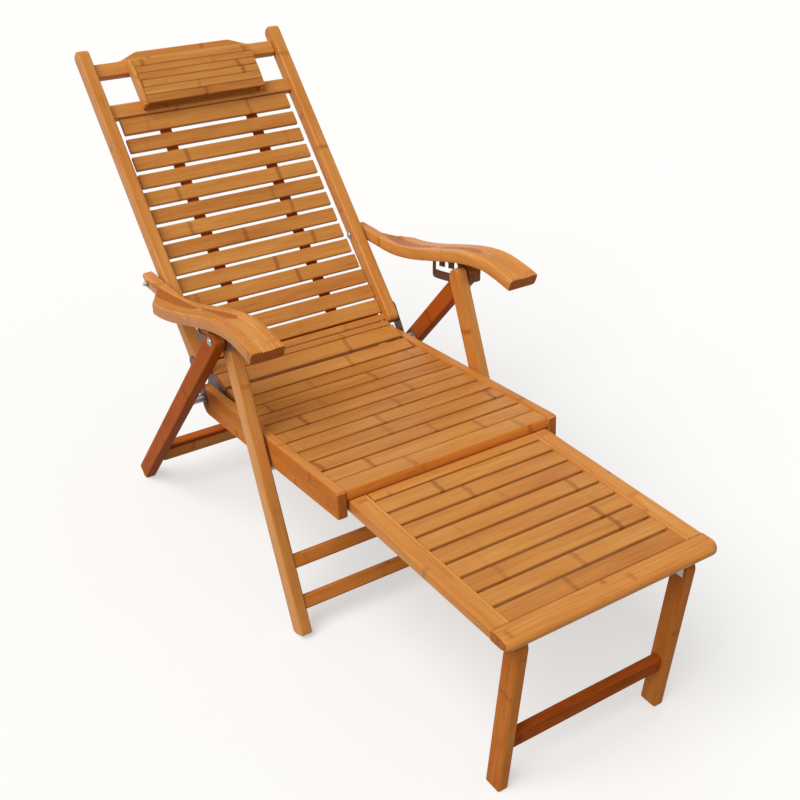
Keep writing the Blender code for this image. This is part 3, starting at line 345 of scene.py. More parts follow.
# Painted shade: this darkest red brown stands in for the shadow behind the backrest's slats.
dark_bamboo = lacquered_bamboo(
    "red_brown_bamboo_painted_shade_satin_lacquered",
    ["#7A2A0A", "#953A0E", "#A84716", "#B85620"], "#6A230A", "#5E1F08", 21 * MM, 0.48, 0.02)
print("bamboo materials:", *[bamboo.name for bamboo in (slat_bamboo, frame_bamboo, amber_bamboo,
                                                       brown_bamboo, dark_bamboo)])

# %% [markdown]
# ## End grain
# Where a board is sawn across, its fibre bundles show end on, as dark dots that crowd
# towards the outside of the cane, and the raw end soaks up lacquer and turns red
# brown. It could share the long-grain graph, but streaks on an end face look painted
# on, so the ends get a dotted material of their own.

# %% Sawn ends
FIBRE_DOT = 2.2 * MM            # real dots are 0.5 mm; drawn coarser, so that they show
end_grain, tree, shader = new_material("bamboo_end_grain_sawn_lacquered")
grain = add_node(tree, "Attribute", attribute_name="grain")
dot_scale = (1 / FIBRE_DOT,) * 3
cells = add_node(tree, "VectorMath", {0: grain.outputs["Vector"], 1: dot_scale}, operation="MULTIPLY")
dots = add_node(tree, "TexVoronoi", {"Vector": cells.outputs[0], "Scale": 1.0})
dark_dot = add_node(tree, "MapRange", {"Value": dots.outputs["Distance"], "From Min": 0.25,
                                       "From Max": 0.6, "To Min": 0.75, "To Max": 0.0})
cloud = add_node(tree, "TexNoise", {"Vector": cells.outputs[0], "Scale": 0.2, "Detail": 2.0})
ground = add_node(tree, "Mix", {"Factor": cloud.outputs["Fac"], "A": linear("#A65A24"),
                                "B": linear("#C27636")}, data_type="RGBA")
colour = add_node(tree, "Mix", {"Factor": dark_dot.outputs[0], "A": ground.outputs["Result"],
                                "B": linear("#8E4A1C")}, data_type="RGBA")
rough = add_node(tree, "MapRange", {"Value": dots.outputs["Distance"], "To Min": 0.62, "To Max": 0.45})
pores = add_node(tree, "Bump", {"Strength": 0.3, "Distance": 0.3 * MM, "Height": dots.outputs["Distance"]})
set_inputs(tree, shader, {"Base Color": colour.outputs["Result"], "Roughness": rough.outputs[0],
                          "Normal": pores.outputs["Normal"], "IOR": LACQUER_IOR,
                          "Specular IOR Level": 0.12})
print("end grain dots of", FIBRE_DOT / MM, "mm")

# %% [markdown]
# ## Steel
# Bolts and pegs are mild steel, turned and then zinc plated: grey, softly shiny, with
# a faint cloud where the plating took unevenly. The notch plates and hinge plates are
# punched from 3 mm sheet and painted brown. Sprayed paint dries with a slight orange
# peel, and where it slides it is rubbed a little paler. Bamboo's graph could be used
# again, but the CAD pieces carry no grain, so both patterns are read from the object's
# own coordinates.

# %% Zinc-plated steel
ZINC_CLOUD = 5 * MM
zinc_steel, tree, shader = new_material("zinc_plated_steel_turned")
spot = add_node(tree, "TexCoord")
cloud = add_node(tree, "TexNoise", {"Vector": spot.outputs["Object"], "Scale": 1 / ZINC_CLOUD,
                                    "Detail": 3.0})
colour = add_node(tree, "Mix", {"Factor": cloud.outputs["Fac"], "A": linear("#85888C"),
                                "B": linear("#B9BABA")}, data_type="RGBA")
rough = add_node(tree, "MapRange", {"Value": cloud.outputs["Fac"], "From Min": 0.3, "From Max": 0.7,
                                    "To Min": 0.28, "To Max": 0.46})
set_inputs(tree, shader, {"Base Color": colour.outputs["Result"], "Roughness": rough.outputs[0],
                          "Metallic": 1.0})
print(zinc_steel.name, "with clouds of", ZINC_CLOUD / MM, "mm")

# %% Brown-painted steel
ORANGE_PEEL = 2.0 * MM
RUBBED_PATCH = 22 * MM
brown_paint, tree, shader = new_material("brown_painted_steel_sprayed")
spot = add_node(tree, "TexCoord")
peel = add_node(tree, "TexNoise", {"Vector": spot.outputs["Object"], "Scale": 1 / ORANGE_PEEL,
                                   "Detail": 2.0})
patch = add_node(tree, "TexNoise", {"Vector": spot.outputs["Object"], "Scale": 1 / RUBBED_PATCH,
                                    "Detail": 4.0, "Roughness": 0.65})
rubbed = add_node(tree, "MapRange", {"Value": patch.outputs["Fac"], "From Min": 0.5, "From Max": 0.75,
                                     "To Min": 0.0, "To Max": 0.7})
colour = add_node(tree, "Mix", {"Factor": rubbed.outputs[0], "A": linear("#5A3A2C"),
                                "B": linear("#7C5A48")}, data_type="RGBA")
rough = add_node(tree, "MapRange", {"Value": peel.outputs["Fac"], "From Min": 0.3, "From Max": 0.7,
                                    "To Min": 0.38, "To Max": 0.52})
skin = add_node(tree, "Bump", {"Strength": 0.2, "Distance": 0.1 * MM, "Height": peel.outputs["Fac"]})
set_inputs(tree, shader, {"Base Color": colour.outputs["Result"], "Roughness": rough.outputs[0],
                          "Normal": skin.outputs["Normal"], "IOR": LACQUER_IOR})
print(brown_paint.name, "with an orange peel of", ORANGE_PEEL / MM, "mm")

# %% [markdown]
# ## Axes of the tilted boards
# The backrest leans, the legs cross and the seat rises a little to the front, but a
# carpenter still measures each board square to itself. So every body gets its own
# axes: the origin on its pivot, turned about the width by its tilt. Boards are drawn
# in those axes, and the CAD solids are measured in them too.

# %% Each body's own axes
joints = {joint["name"]: joint for joint in frame["joints"]}
PIVOT_AND_TILT = {
    "rear_legs": ("front_leg_fold", 40.9),
    "front_legs": ("front_leg_fold", -23.6),
    "seat": ("seat_fold", -4.3),
    "backrest": ("backrest_recline", -43.2),
    "footrest_legs": ("footrest_leg_fold", 4.95),
    "left_arm": ("left_arm_pivot", 0.0),
    "right_arm": ("right_arm_pivot", 0.0),
}
axes = {"footrest": Matrix.Identity(4)}
for body, (joint, tilt) in PIVOT_AND_TILT.items():
    pivot = Matrix.Translation(joints[joint]["pos_m"])
    axes[body] = pivot @ Matrix.Rotation(math.radians(tilt), 4, "Y")


def own_box(node, body):
    """Lowest and highest corner of a CAD solid, measured in a body's own axes."""
    into = axes[body].inverted()
    points = [into @ vertex.co for vertex in frame["nodes"][node].data.vertices]
    return Vector(map(min, zip(*points))), Vector(map(max, zip(*points)))


SIDES = (("left", 1), ("right", -1))


def inner_and_outer(low, high, side):
    """The inner and the outer face of a piece on one side of the lounger."""
    return (low.y, high.y) if side > 0 else (high.y, low.y)


low, high = own_box("stile_left", "backrest")
print("stile is", [round(size / MM, 1) for size in high - low], "mm square to itself")

# %% [markdown]
# ## From an outline to a board
# Nearly every piece here is a board: an outline sawn from a plank, with its edges run
# over by a rounding cutter. Blender's Bevel modifier could do the edges, but a few
# bmesh lines keep the order of work plain: draw the outline, draw it out to its
# thickness, round the sharp edges, and lay the grain along it.


# %% Outlines
def rounded(corners, steps=6):
    """A closed outline through (u, v, radius) corners, with an arc where there is a radius."""
    outline = []
    for index, (u, v, radius) in enumerate(corners):
        here = Vector((u, v))
        if radius == 0:
            outline.append(here)
            continue
        back = (Vector(corners[index - 1][:2]) - here).normalized()
        ahead = (Vector(corners[(index + 1) % len(corners)][:2]) - here).normalized()
        half = back.angle(ahead) / 2
        centre = here + (back + ahead).normalized() * (radius / math.sin(half))
        first = here + back * (radius / math.tan(half)) - centre
        sweep = math.copysign(math.pi - 2 * half, ahead.cross(back))
        for step in range(steps + 1):
            outline.append(centre + Matrix.Rotation(sweep * step / steps, 2) @ first)
    return outline


def bar_outline(low, high, radius):
    """A rectangle between two corners, each given as (u, v), with rounded corners."""
    return rounded([(low[0], low[1], radius), (high[0], low[1], radius),
                    (high[0], high[1], radius), (low[0], high[1], radius)])


print("a rounded rectangle has", len(bar_outline((0, 0), (1, 1), 0.1)), "points")


# %% Solids
def drawn_out(outline, start, end, axis):
    """A closed outline drawn out along an axis; along Y the outline is (x, z)."""
    order = {"X": (2, 0, 1), "Y": (0, 2, 1), "Z": (0, 1, 2)}[axis]
    bm = bmesh.new()
    ends = []
    for level in (start, end):
        points = [(u, v, level) for u, v in outline]
        ends.append([bm.verts.new([point[index] for index in order]) for point in points])
    near, far = ends
    bm.faces.new(near)
    bm.faces.new(far[::-1])
    for index in range(len(near)):
        bm.faces.new((near[index], near[index - 1], far[index - 1], far[index]))
    bmesh.ops.recalc_face_normals(bm, faces=bm.faces)
    return bm


def lofted(rings):
    """A closed skin over rings of points that all have the same count."""
    bm = bmesh.new()
    rings = [[bm.verts.new(point) for point in ring] for ring in rings]
    for ring, after in zip(rings, rings[1:]):
        for index in range(len(ring)):
            bm.faces.new((ring[index], ring[index - 1], after[index - 1], after[index]))
    bm.faces.new(rings[0])
    bm.faces.new(rings[-1][::-1])
    bmesh.ops.recalc_face_normals(bm, faces=bm.faces)
    return bm


SHARP_EDGE = math.radians(40)
ROUNDING_STEPS = 3


def round_edges(bm, radius, segments=ROUNDING_STEPS):
    """Run a rounding cutter over every sharp edge."""
    sharp = [edge for edge in bm.edges if edge.calc_face_angle(0.0) > SHARP_EDGE]
    bmesh.ops.bevel(bm, geom=sharp, offset=radius, segments=segments, profile=0.5,
                    affect="EDGES", clamp_overlap=True)
    return bm


print("edges are rounded in", ROUNDING_STEPS, "steps")


# %% Grain and joining
AXIS_X, AXIS_Y, AXIS_Z = 0, 1, 2
SAWN_ACROSS = 0.9               # how far a face looks along the grain where it shows end grain
boards_laid = 0


def lay_grain(bm, along, across):
    """Store each point's place in its board, and mark the faces sawn across the grain."""
    global boards_laid
    boards_laid += 1
    deep = 3 - along - across
    layer = bm.verts.layers.float_vector.new("grain")
    middle = [sum(limits) / 2 for limits in
              ((min(values), max(values)) for values in zip(*(vertex.co for vertex in bm.verts)))]
    for vertex in bm.verts:
        vertex[layer] = (vertex.co[along] + boards_laid * BOARD_SPACING,
                         vertex.co[across] - middle[across], vertex.co[deep] - middle[deep])
    bm.normal_update()
    for face in bm.faces:
        face.material_index = int(abs(face.normal[along]) > SAWN_ACROSS)
    return bm


def together(parts):
    """Several solids as one mesh."""
    bm = bmesh.new()
    for part in parts:
        mesh = bpy.data.meshes.new("part")
        part.to_mesh(mesh)
        part.free()
        bm.from_mesh(mesh)
        bpy.data.meshes.remove(mesh)
    return bm


print("end grain shows on faces within", round(math.degrees(math.acos(SAWN_ACROSS))), "degrees of the cut")

# %% Finished pieces
SHADING_CREASE = math.radians(38)


def add_piece(name, bm, body, slot, *materials, drawn_in=None):
    """Make an object of a mesh in a body's axes, and let it ride on the body."""
    bmesh.ops.recalc_face_normals(bm, faces=bm.faces)
    mesh = bpy.data.meshes.new(name)
    bm.to_mesh(mesh)
    bm.free()
    mesh.shade_smooth()
    mesh.set_sharp_from_angle(angle=SHADING_CREASE)
    for material in materials:
        mesh.materials.append(material)
    mesh.transform(axes[drawn_in or body])
    piece = bpy.data.objects.new(name, mesh)
    scene.collection.objects.link(piece)
    piece.modifiers.new("flat_faces_stay_flat", "WEIGHTED_NORMAL").keep_sharp = True
    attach(piece, body)
    return piece


def finish_piece(node, bm, body, slot, *materials, drawn_in=None):
    """Make a piece that takes the place of a CAD solid."""
    piece = add_piece(node + "_finished", bm, body, slot, *materials, drawn_in=drawn_in)
    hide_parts(node)


SECOND_TONE = 2                 # its place in a piece's materials, after bamboo and end grain
SIDE_ON = 0.45                  # how far a face has to turn to an axis to look along it


def second_tone(bm, facing):
    """Give the faces that look along an axis the second tone of their piece."""
    bm.normal_update()
    for face in bm.faces:
        if abs(face.normal[facing]) > SIDE_ON:
            face.material_index = SECOND_TONE
    return bm


HONEY = ("bamboo", frame_bamboo, end_grain)
SLATS = ("bamboo", slat_bamboo, end_grain)
AMBER = ("bamboo", amber_bamboo, end_grain)
BROWN = ("bamboo", brown_bamboo, end_grain)
DARK = ("dark_bamboo", dark_bamboo, end_grain)
print("finishes:", *[finish[1].name for finish in (HONEY, SLATS, AMBER, BROWN, DARK)])

# %% [markdown]
# ## Legs
# Each leg is a 26 mm board with rounded top corners, and its foot is sawn where the
# floor is. The foot's angle could be worked out by hand for each lean. It is simpler
# to draw every leg with a square end and clip the outline at the floor, which is what
# the maker does with the saw. The outer, rear pair is stained brown.


# %% Four crossing legs and two footrest legs
def clip_at_floor(outline, body):
    """The part of an outline that stands above the floor."""
    def height(point):
        return (axes[body] @ Vector((point.x, 0.0, point.y))).z

    kept = []
    for index, point in enumerate(outline):
        before = outline[index - 1]
        if (height(point) > 0) != (height(before) > 0):
            kept.append(before.lerp(point, height(before) / (height(before) - height(point))))
        if height(point) > 0:
            kept.append(point)
    return kept


LEG_EDGE = 4 * MM
# Body, finish, radius of the top's rear and front corner, and how far the leg is drawn below its box.
LEGS = {
    "rear_leg": ("rear_legs", BROWN, 12 * MM, 12 * MM, 0.0),
    "front_leg": ("front_legs", HONEY, 22 * MM, 12 * MM, 0.0),
    "footrest_leg": ("footrest_legs", AMBER, 19 * MM, 19 * MM, 20 * MM),
}
for family, (body, finish, rear_round, front_round, below) in LEGS.items():
    for name, _ in SIDES:
        low, high = own_box(f"{family}_{name}", body)
        square = [(low.x, low.z - below, 0), (high.x, low.z - below, 0),
                  (high.x, high.z, front_round), (low.x, high.z, rear_round)]
        outline = clip_at_floor(rounded(square, steps=10), body)
        leg = round_edges(drawn_out(outline, low.y, high.y, "Y"), LEG_EDGE)
        finish_piece(f"{family}_{name}", lay_grain(leg, AXIS_Z, AXIS_Y), body, *finish)
    print(family, "stands", round((high.z - low.z) / MM), "mm long")

# %% [markdown]
# ## Crossbars
# The bars between the legs are moulded: a groove runs along the wide faces of the rear
# bar, and two along those of the footrest's stretcher, so that they look lighter.
# Grooves could be painted on with bump, but they catch light and shadow, so they are in
# the section that is drawn out from leg to leg. The rear bar lies level, though its legs
# lean, so it is drawn in the footrest's level axes. It is brown from its groove upwards,
# as painted shade under the seat.


# %% Moulded bars between the legs
def grooved_outline(low, high, radius, grooves, width, depth):
    """A rounded bar section in (x, z) with V grooves along both of its wide faces."""
    corner = bar_outline(low, high, radius)
    quarter = len(corner) // 4
    rising, falling = [], []
    for z in grooves:
        rising += [(high[0], z - width / 2), (high[0] - depth, z), (high[0], z + width / 2)]
        falling = [(low[0], z + width / 2), (low[0] + depth, z), (low[0], z - width / 2)] + falling
    section = corner[:2 * quarter] + [Vector(point) for point in rising]
    return section + corner[2 * quarter:] + [Vector(point) for point in falling]


BAR_EDGE = 4 * MM
GROOVE_SLOPE = 0.45             # depth of a groove for its width
# Body, axes it is drawn in, finish, places of the grooves as shares of the height, and their width.
BARS = {
    "rear_crossbar": ("rear_legs", "footrest", (*HONEY, brown_bamboo), (0.26,), 7 * MM),
    "front_crossbar_upper": ("front_legs", "front_legs", AMBER, (), 0.0),
    "front_crossbar_lower": ("front_legs", "front_legs", AMBER, (), 0.0),
    "footrest_stretcher": ("footrest_legs", "footrest_legs", BROWN, (-0.02, 0.26), 4 * MM),
}
for node, (body, drawn_in, finish, shares, width) in BARS.items():
    low, high = own_box(node, drawn_in)
    middle = (low.z + high.z) / 2
    grooves = [middle + share * (high.z - low.z) for share in shares]
    outline = grooved_outline((low.x, low.z), (high.x, high.z), BAR_EDGE, grooves, width,
                              GROOVE_SLOPE * width)
    bar = lay_grain(drawn_out(outline, low.y, high.y, "Y"), AXIS_Y, AXIS_Z)
    # Painted shade: on the rear bar the faces above the groove take the brown tone.
    for face in bar.faces:
        if len(finish) > SECOND_TONE + 1 and face.calc_center_median().z > grooves[0] - width / 2:
            face.material_index = SECOND_TONE
    finish_piece(node, bar, body, *finish, drawn_in=drawn_in)
    print(node, "with", 2 * len(grooves), "grooves")

# %% [markdown]
# ## Seat rails
# The seat hangs between two deep rails with amber sides. The rear lower corner is cut
# to a wide curve, and a slot along the inner face guides the footrest's pegs. The slot
# could be a dark stripe, but the pegs run in it, so it is really taken out, with an
# exact boolean, before the grain is laid.


# %% Rails with the footrest's slot
def cut_out(bm, tool):
    """Take one solid out of another."""
    pieces = []
    for shape in (bm, tool):
        mesh = bpy.data.meshes.new("cut")
        shape.to_mesh(mesh)
        shape.free()
        pieces.append(bpy.data.objects.new("cut", mesh))
        scene.collection.objects.link(pieces[-1])
    cut = pieces[0].modifiers.new("cut", "BOOLEAN")
    cut.solver = "EXACT"
    cut.object = pieces[1]
    graph = bpy.context.evaluated_depsgraph_get()
    result = bmesh.new()
    result.from_mesh(pieces[0].evaluated_get(graph).to_mesh())
    for piece in pieces:
        bpy.data.meshes.remove(piece.data)
    return result


REAR_CURVE = 28 * MM
RAIL_FRONT_HEIGHT = 57.5 * MM
RAIL_EDGE = 4 * MM
SLOT_RADIUS = 4.2 * MM
SLOT_DEPTH = 10.5 * MM
slide = joints["footrest_slide"]["range_m"]
peg_low, peg_high = own_box("footrest_peg_left", "seat")
peg_x = (peg_low.x + peg_high.x) / 2
peg_z = (peg_low.z + peg_high.z) / 2
for name, side in SIDES:
    low, high = own_box(f"seat_rail_{name}", "seat")
    outline = rounded([(low.x, low.z, REAR_CURVE), (high.x, high.z - RAIL_FRONT_HEIGHT, 5 * MM),
                       (high.x, high.z, 7 * MM), (low.x, high.z, 6 * MM)], steps=8)
    rail = round_edges(drawn_out(outline, low.y, high.y, "Y"), RAIL_EDGE)
    inner, _ = inner_and_outer(low, high, side)
    slot_outline = bar_outline((peg_x + slide[0] - SLOT_RADIUS, peg_z - SLOT_RADIUS),
                               (peg_x + slide[1] + SLOT_RADIUS, peg_z + SLOT_RADIUS), SLOT_RADIUS * 0.99)
    slot = drawn_out(slot_outline, inner - side * SLOT_DEPTH, inner + side * SLOT_DEPTH, "Y")
    rail = cut_out(rail, slot)
    # Painted shade: the rails' side faces take the darker amber tone.
    rail = second_tone(lay_grain(rail, AXIS_X, AXIS_Z), AXIS_Y)
    finish_piece(f"seat_rail_{name}", rail, "seat", *HONEY, amber_bamboo)
print("footrest slot is", round((slide[1] - slide[0]) / MM), "mm long")

# %% [markdown]
# ## Seat slats
# Eleven slats lie across the seat on two bearers, and the rear ones climb on wedges, up
# to a narrow slat under the backrest. One bent sheet with gaps would be quicker, but
# each slat is its own piece of bamboo with its own joints and tone, so each is drawn,
# tilted and given its own grain before all are put together as one panel. Thin steel
# plates close the sides of the climbing end, and a broad rounded nose ends the seat.


# %% How the slats lie
SLAT_TOP_ROUND = 2.6 * MM
SLAT_LOWER_ROUND = 1 * MM
SLAT_EDGE = 1.2 * MM


def slat(middle, top, slope, width, thickness, start, end):
    """A slat across the lounger with rounded upper edges, tilted by a slope."""
    half = width / 2
    section = rounded([(-half, -thickness, SLAT_LOWER_ROUND), (half, -thickness, SLAT_LOWER_ROUND),
                       (half, 0.0, SLAT_TOP_ROUND), (-half, 0.0, SLAT_TOP_ROUND)], steps=4)
    turn = Matrix.Rotation(slope, 2)
    outline = [Vector((middle, top)) + turn @ point for point in section]
    return lay_grain(round_edges(drawn_out(outline, start, end, "Y"), SLAT_EDGE, 2), AXIS_Y, AXIS_X)


SEAT_SLATS = 11
SLAT_PITCH = 47.3 * MM
SLAT_WIDTH = 41.3 * MM
SLAT_THICKNESS = 10 * MM
CLIMBING_THICKNESS = 14 * MM    # closes the steps between the climbing slats
DISH_LENGTH = 111 * MM
DISH_RISE = 31 * MM
TAIL_WIDTH = 26 * MM
TAIL_RISE = 28.2 * MM
SHORT_SLATS = 2                 # the rearmost slats pass between the stiles
REAR_REACH = 229.5 * MM
nose_low, nose_high = own_box("seat_nose", "seat")
panel_low, panel_high = own_box("seat_slat_panel", "seat")


def seat_top(x):
    """Height of the slats' top at a place along the seat."""
    last = nose_low.x - SEAT_SLATS * SLAT_PITCH
    return nose_high.z + DISH_RISE * min(max((last + DISH_LENGTH - x) / DISH_LENGTH, 0.0), 1.0) ** 2


def slat_seat(x):
    """Height of a slat's middle and its tilt, from where its two edges lie."""
    rear, front = seat_top(x - SLAT_WIDTH / 2), seat_top(x + SLAT_WIDTH / 2)
    return (rear + front) / 2, math.atan2(front - rear, SLAT_WIDTH)


print("slats", round(SLAT_WIDTH / MM, 1), "mm wide, gaps", round((SLAT_PITCH - SLAT_WIDTH) / MM, 1), "mm")

# %% Slats on their bearers and wedges
WEDGE_WIDTH = 12 * MM
WEDGE_INSET = 4 * MM
WEDGE_FROM = 1.5 * MM           # a wedge starts where the slats have risen this far
BEARER_WIDTH = 22 * MM
BEARER_THICKNESS = 7 * MM
BEARER_INSET = 60 * MM
BEARER_EDGE = 1 * MM
SNUG = 0.5 * MM                 # bearers reach this far into the slats, so that no gap shows
CLEAR = 0.3 * MM                # left between two pieces that lie side by side
middles = [nose_low.x - (index + 0.5) * SLAT_PITCH for index in range(SEAT_SLATS)]
parts = []
for index, x in enumerate(middles):
    short = index >= SEAT_SLATS - SHORT_SLATS
    reach = REAR_REACH if short else panel_high.y
    thickness = CLIMBING_THICKNESS if short else SLAT_THICKNESS
    parts.append(slat(x, *slat_seat(x), SLAT_WIDTH, thickness, -reach, reach))
tail = panel_low.x + TAIL_WIDTH / 2
tail_top = nose_high.z + TAIL_RISE
parts.append(slat(tail, tail_top, 0.0, TAIL_WIDTH, SLAT_THICKNESS, -REAR_REACH, REAR_REACH))
tops = [(nose_low.x - CLEAR, nose_high.z)] + [(x, slat_seat(x)[0]) for x in middles]
tops += [(tail + TAIL_WIDTH / 2, tail_top), (panel_low.x + 2 * MM, tail_top)]
under = [(x, top - SLAT_THICKNESS + SNUG) for x, top in tops]
lower = [(x, top - SLAT_THICKNESS - BEARER_THICKNESS) for x, top in reversed(tops)]
base = nose_high.z - SLAT_THICKNESS
climbing = [(x, height) for x, height in under if height > base + WEDGE_FROM]
wedge = [*climbing, (climbing[-1][0], base), (climbing[0][0], base)]
wedge_out = REAR_REACH - WEDGE_INSET
for _, side in SIDES:
    middle = side * (panel_high.y - BEARER_INSET)
    bearer = drawn_out(under + lower, middle - BEARER_WIDTH / 2, middle + BEARER_WIDTH / 2, "Y")
    parts.append(lay_grain(round_edges(bearer, BEARER_EDGE, 2), AXIS_X, AXIS_Y))
    piece = drawn_out(wedge, side * (wedge_out - WEDGE_WIDTH), side * wedge_out, "Y")
    parts.append(lay_grain(round_edges(piece, BEARER_EDGE, 2), AXIS_X, AXIS_Z))
finish_piece("seat_slat_panel", together(parts), "seat", *SLATS)
print(len(middles), "seat slats, the last one", round((seat_top(middles[-1]) - nose_high.z) / MM), "mm up")

# %% Steel plates beside the wedges, and the nose
PLATE_EDGE = 0.6 * MM
SEAT_NOSE_ROUND = 14.5 * MM
NOSE_DROP = 3 * MM              # the nose is a little deeper in front
# Corners in mm, forward of the seat's pivot and above it, with their radii.
PLATE_OUTLINE = ((95, -12, 4), (95, 8, 4), (60, 15, 8), (44, 26, 8), (8, 43, 8), (-22, 43, 10),
                 (-43, 29, 12), (-52, 6, 10), (-44, -20, 10), (20, -20, 10))
for name, side in SIDES:
    outline = rounded([(x * MM, z * MM, radius * MM) for x, z, radius in PLATE_OUTLINE])
    plate = drawn_out(outline, side * (wedge_out + CLEAR), side * (REAR_REACH - CLEAR), "Y")
    plate = round_edges(plate, PLATE_EDGE, 2)
    add_piece(f"wedge_plate_{name}", plate, "seat", "brown_steel", brown_paint)
outline = rounded([(nose_low.x, nose_low.z, 1 * MM), (nose_high.x, nose_low.z - NOSE_DROP, 3 * MM),
                   (nose_high.x, nose_high.z, SEAT_NOSE_ROUND), (nose_low.x, nose_high.z, 1.5 * MM)])
nose = lay_grain(drawn_out(outline, nose_low.y, nose_high.y, "Y"), AXIS_Y, AXIS_X)
# Painted shade: the nose's front face, which looks away from the lamp, takes the amber tone.
finish_piece("seat_nose", second_tone(nose, AXIS_X), "seat", *SLATS, amber_bamboo)
print("seat nose", round((nose_high.x - nose_low.x) / MM, 1), "mm wide")

# %% [markdown]
# ## Footrest
# The footrest is a flat frame: two side rails, a nose across the front with rounded
# corners, a rear rail and nine slats. The side rails have a bead along the inner edge
# and get thinner towards the foot end, and the nose is glued up from two strips with a
# fine groove between them. Bump could hint at bead and groove, but a low sun along the
# boards shows them, so both are worked in the sections.

# %% Side rails with a bead
FRONT_TAPER = 8 * MM            # the frame gets thinner towards the foot end
BEAD = 6 * MM
BEAD_GROOVE = 2 * MM
BEAD_DEPTH = 1.6 * MM
for name, side in SIDES:
    low, high = own_box(f"footrest_rail_{name}", "footrest")
    inner, outer = inner_and_outer(low, high, side)
    bead = inner + side * BEAD
    outline = rounded([
        (inner, low.z, 3 * MM), (outer, low.z, 3 * MM), (outer, high.z, 4.5 * MM),
        (bead + side * BEAD_GROOVE, high.z, 0), (bead + side * BEAD_GROOVE / 2, high.z - BEAD_DEPTH, 0),
        (bead, high.z, 0), (inner, high.z, 3 * MM),
    ])
    rail = drawn_out(outline, low.x, high.x, "X")
    for vertex in rail.verts:
        if vertex.co.x > (low.x + high.x) / 2:
            vertex.co.z += FRONT_TAPER * (high.z - vertex.co.z) / (high.z - low.z)
    finish_piece(f"footrest_rail_{name}", lay_grain(rail, AXIS_X, AXIS_Y), "footrest", *HONEY)
low, high = own_box("footrest_rear_rail", "footrest")
rear_rail = drawn_out(bar_outline((low.x, low.z), (high.x, high.z), 3 * MM), low.y, high.y, "Y")
finish_piece("footrest_rear_rail", lay_grain(rear_rail, AXIS_Y, AXIS_X), "footrest", *HONEY)
print("footrest rails", round((high.y - low.y) / MM), "mm apart")

# %% Nose rail
NOSE_ROUND = 9.5 * MM
PLAN_CORNER = 16 * MM
CORNER_STEPS = 7
BLUNT = 0.08                    # share of the corner's turn that is left out at the very end
NOSE_STRIP = 19 * MM            # width of the rear one of the nose's two strips
HALF_GROOVE = 1.2 * MM
GROOVE_DEPTH = 1.5 * MM
nose_low, nose_high = own_box("footrest_nose_rail", "footrest")
nose_low.z += FRONT_TAPER
groove = nose_low.x + NOSE_STRIP
section = rounded([
    (nose_low.x, nose_low.z, 1 * MM), (nose_high.x, nose_low.z, NOSE_ROUND),
    (nose_high.x, nose_high.z, NOSE_ROUND), (groove + HALF_GROOVE, nose_high.z, 0),
    (groove, nose_high.z - GROOVE_DEPTH, 0), (groove - HALF_GROOVE, nose_high.z, 0),
    (nose_low.x, nose_high.z, 1.5 * MM),
], steps=8)
width = nose_high.x - nose_low.x
rings = []
for side in (-1, 1):
    ends = []
    for step in range(CORNER_STEPS + 1):
        inward = PLAN_CORNER * (1 - math.cos(math.pi / 2 * step / CORNER_STEPS))
        turned_by = math.pi / 2 * (BLUNT + (1 - BLUNT) * step / CORNER_STEPS)
        cut = PLAN_CORNER * (1 - math.sin(turned_by))
        ends.append([(u - cut * (u - nose_low.x) / width, side * (nose_high.y - inward), v)
                     for u, v in section])
    rings += ends if side < 0 else ends[::-1]
nose = lofted(rings)
finish_piece("footrest_nose_rail", lay_grain(nose, AXIS_Y, AXIS_X), "footrest", *HONEY)
print("footrest nose", round(width / MM, 1), "mm wide, of", len(rings), "sections")

# %% Footrest slats
FOOT_SLATS = 9
FOOT_SLAT_GAP = 6.3 * MM
FOOT_SLAT_THICKNESS = 9 * MM
slats_from = own_box("footrest_rear_rail", "footrest")[1].x
panel_low, panel_high = own_box("footrest_slat_panel", "footrest")
pitch = (nose_low.x - slats_from) / FOOT_SLATS
parts = []
for index in range(FOOT_SLATS):
    x = nose_low.x - (index + 0.5) * pitch
    parts.append(slat(x, panel_high.z, 0.0, pitch - FOOT_SLAT_GAP, FOOT_SLAT_THICKNESS,
                      panel_low.y, panel_high.y))
under = panel_high.z - FOOT_SLAT_THICKNESS
for _, side in SIDES:
    middle = side * (panel_high.y - BEARER_INSET)
    outline = bar_outline((middle - BEARER_WIDTH / 2, panel_low.z),
                          (middle + BEARER_WIDTH / 2, under + SNUG), BEARER_EDGE)
    bearer = drawn_out(outline, panel_low.x, panel_high.x, "X")
    parts.append(lay_grain(bearer, AXIS_X, AXIS_Y))
finish_piece("footrest_slat_panel", together(parts), "footrest", *SLATS)
print(FOOT_SLATS, "footrest slats at", round(pitch / MM, 1), "mm")

# %% [markdown]
# ## Backrest
# Two stiles carry a crest rail with a flat hump, a head rail, a lower rail and
# fourteen slats that are nailed to two strips behind them, painted a dark red brown as
# shade. The upper slats stop short of the stiles, so light shows at their ends. The slats
# could be one board with grooves, but light shows between them too, so each is a board of its own.

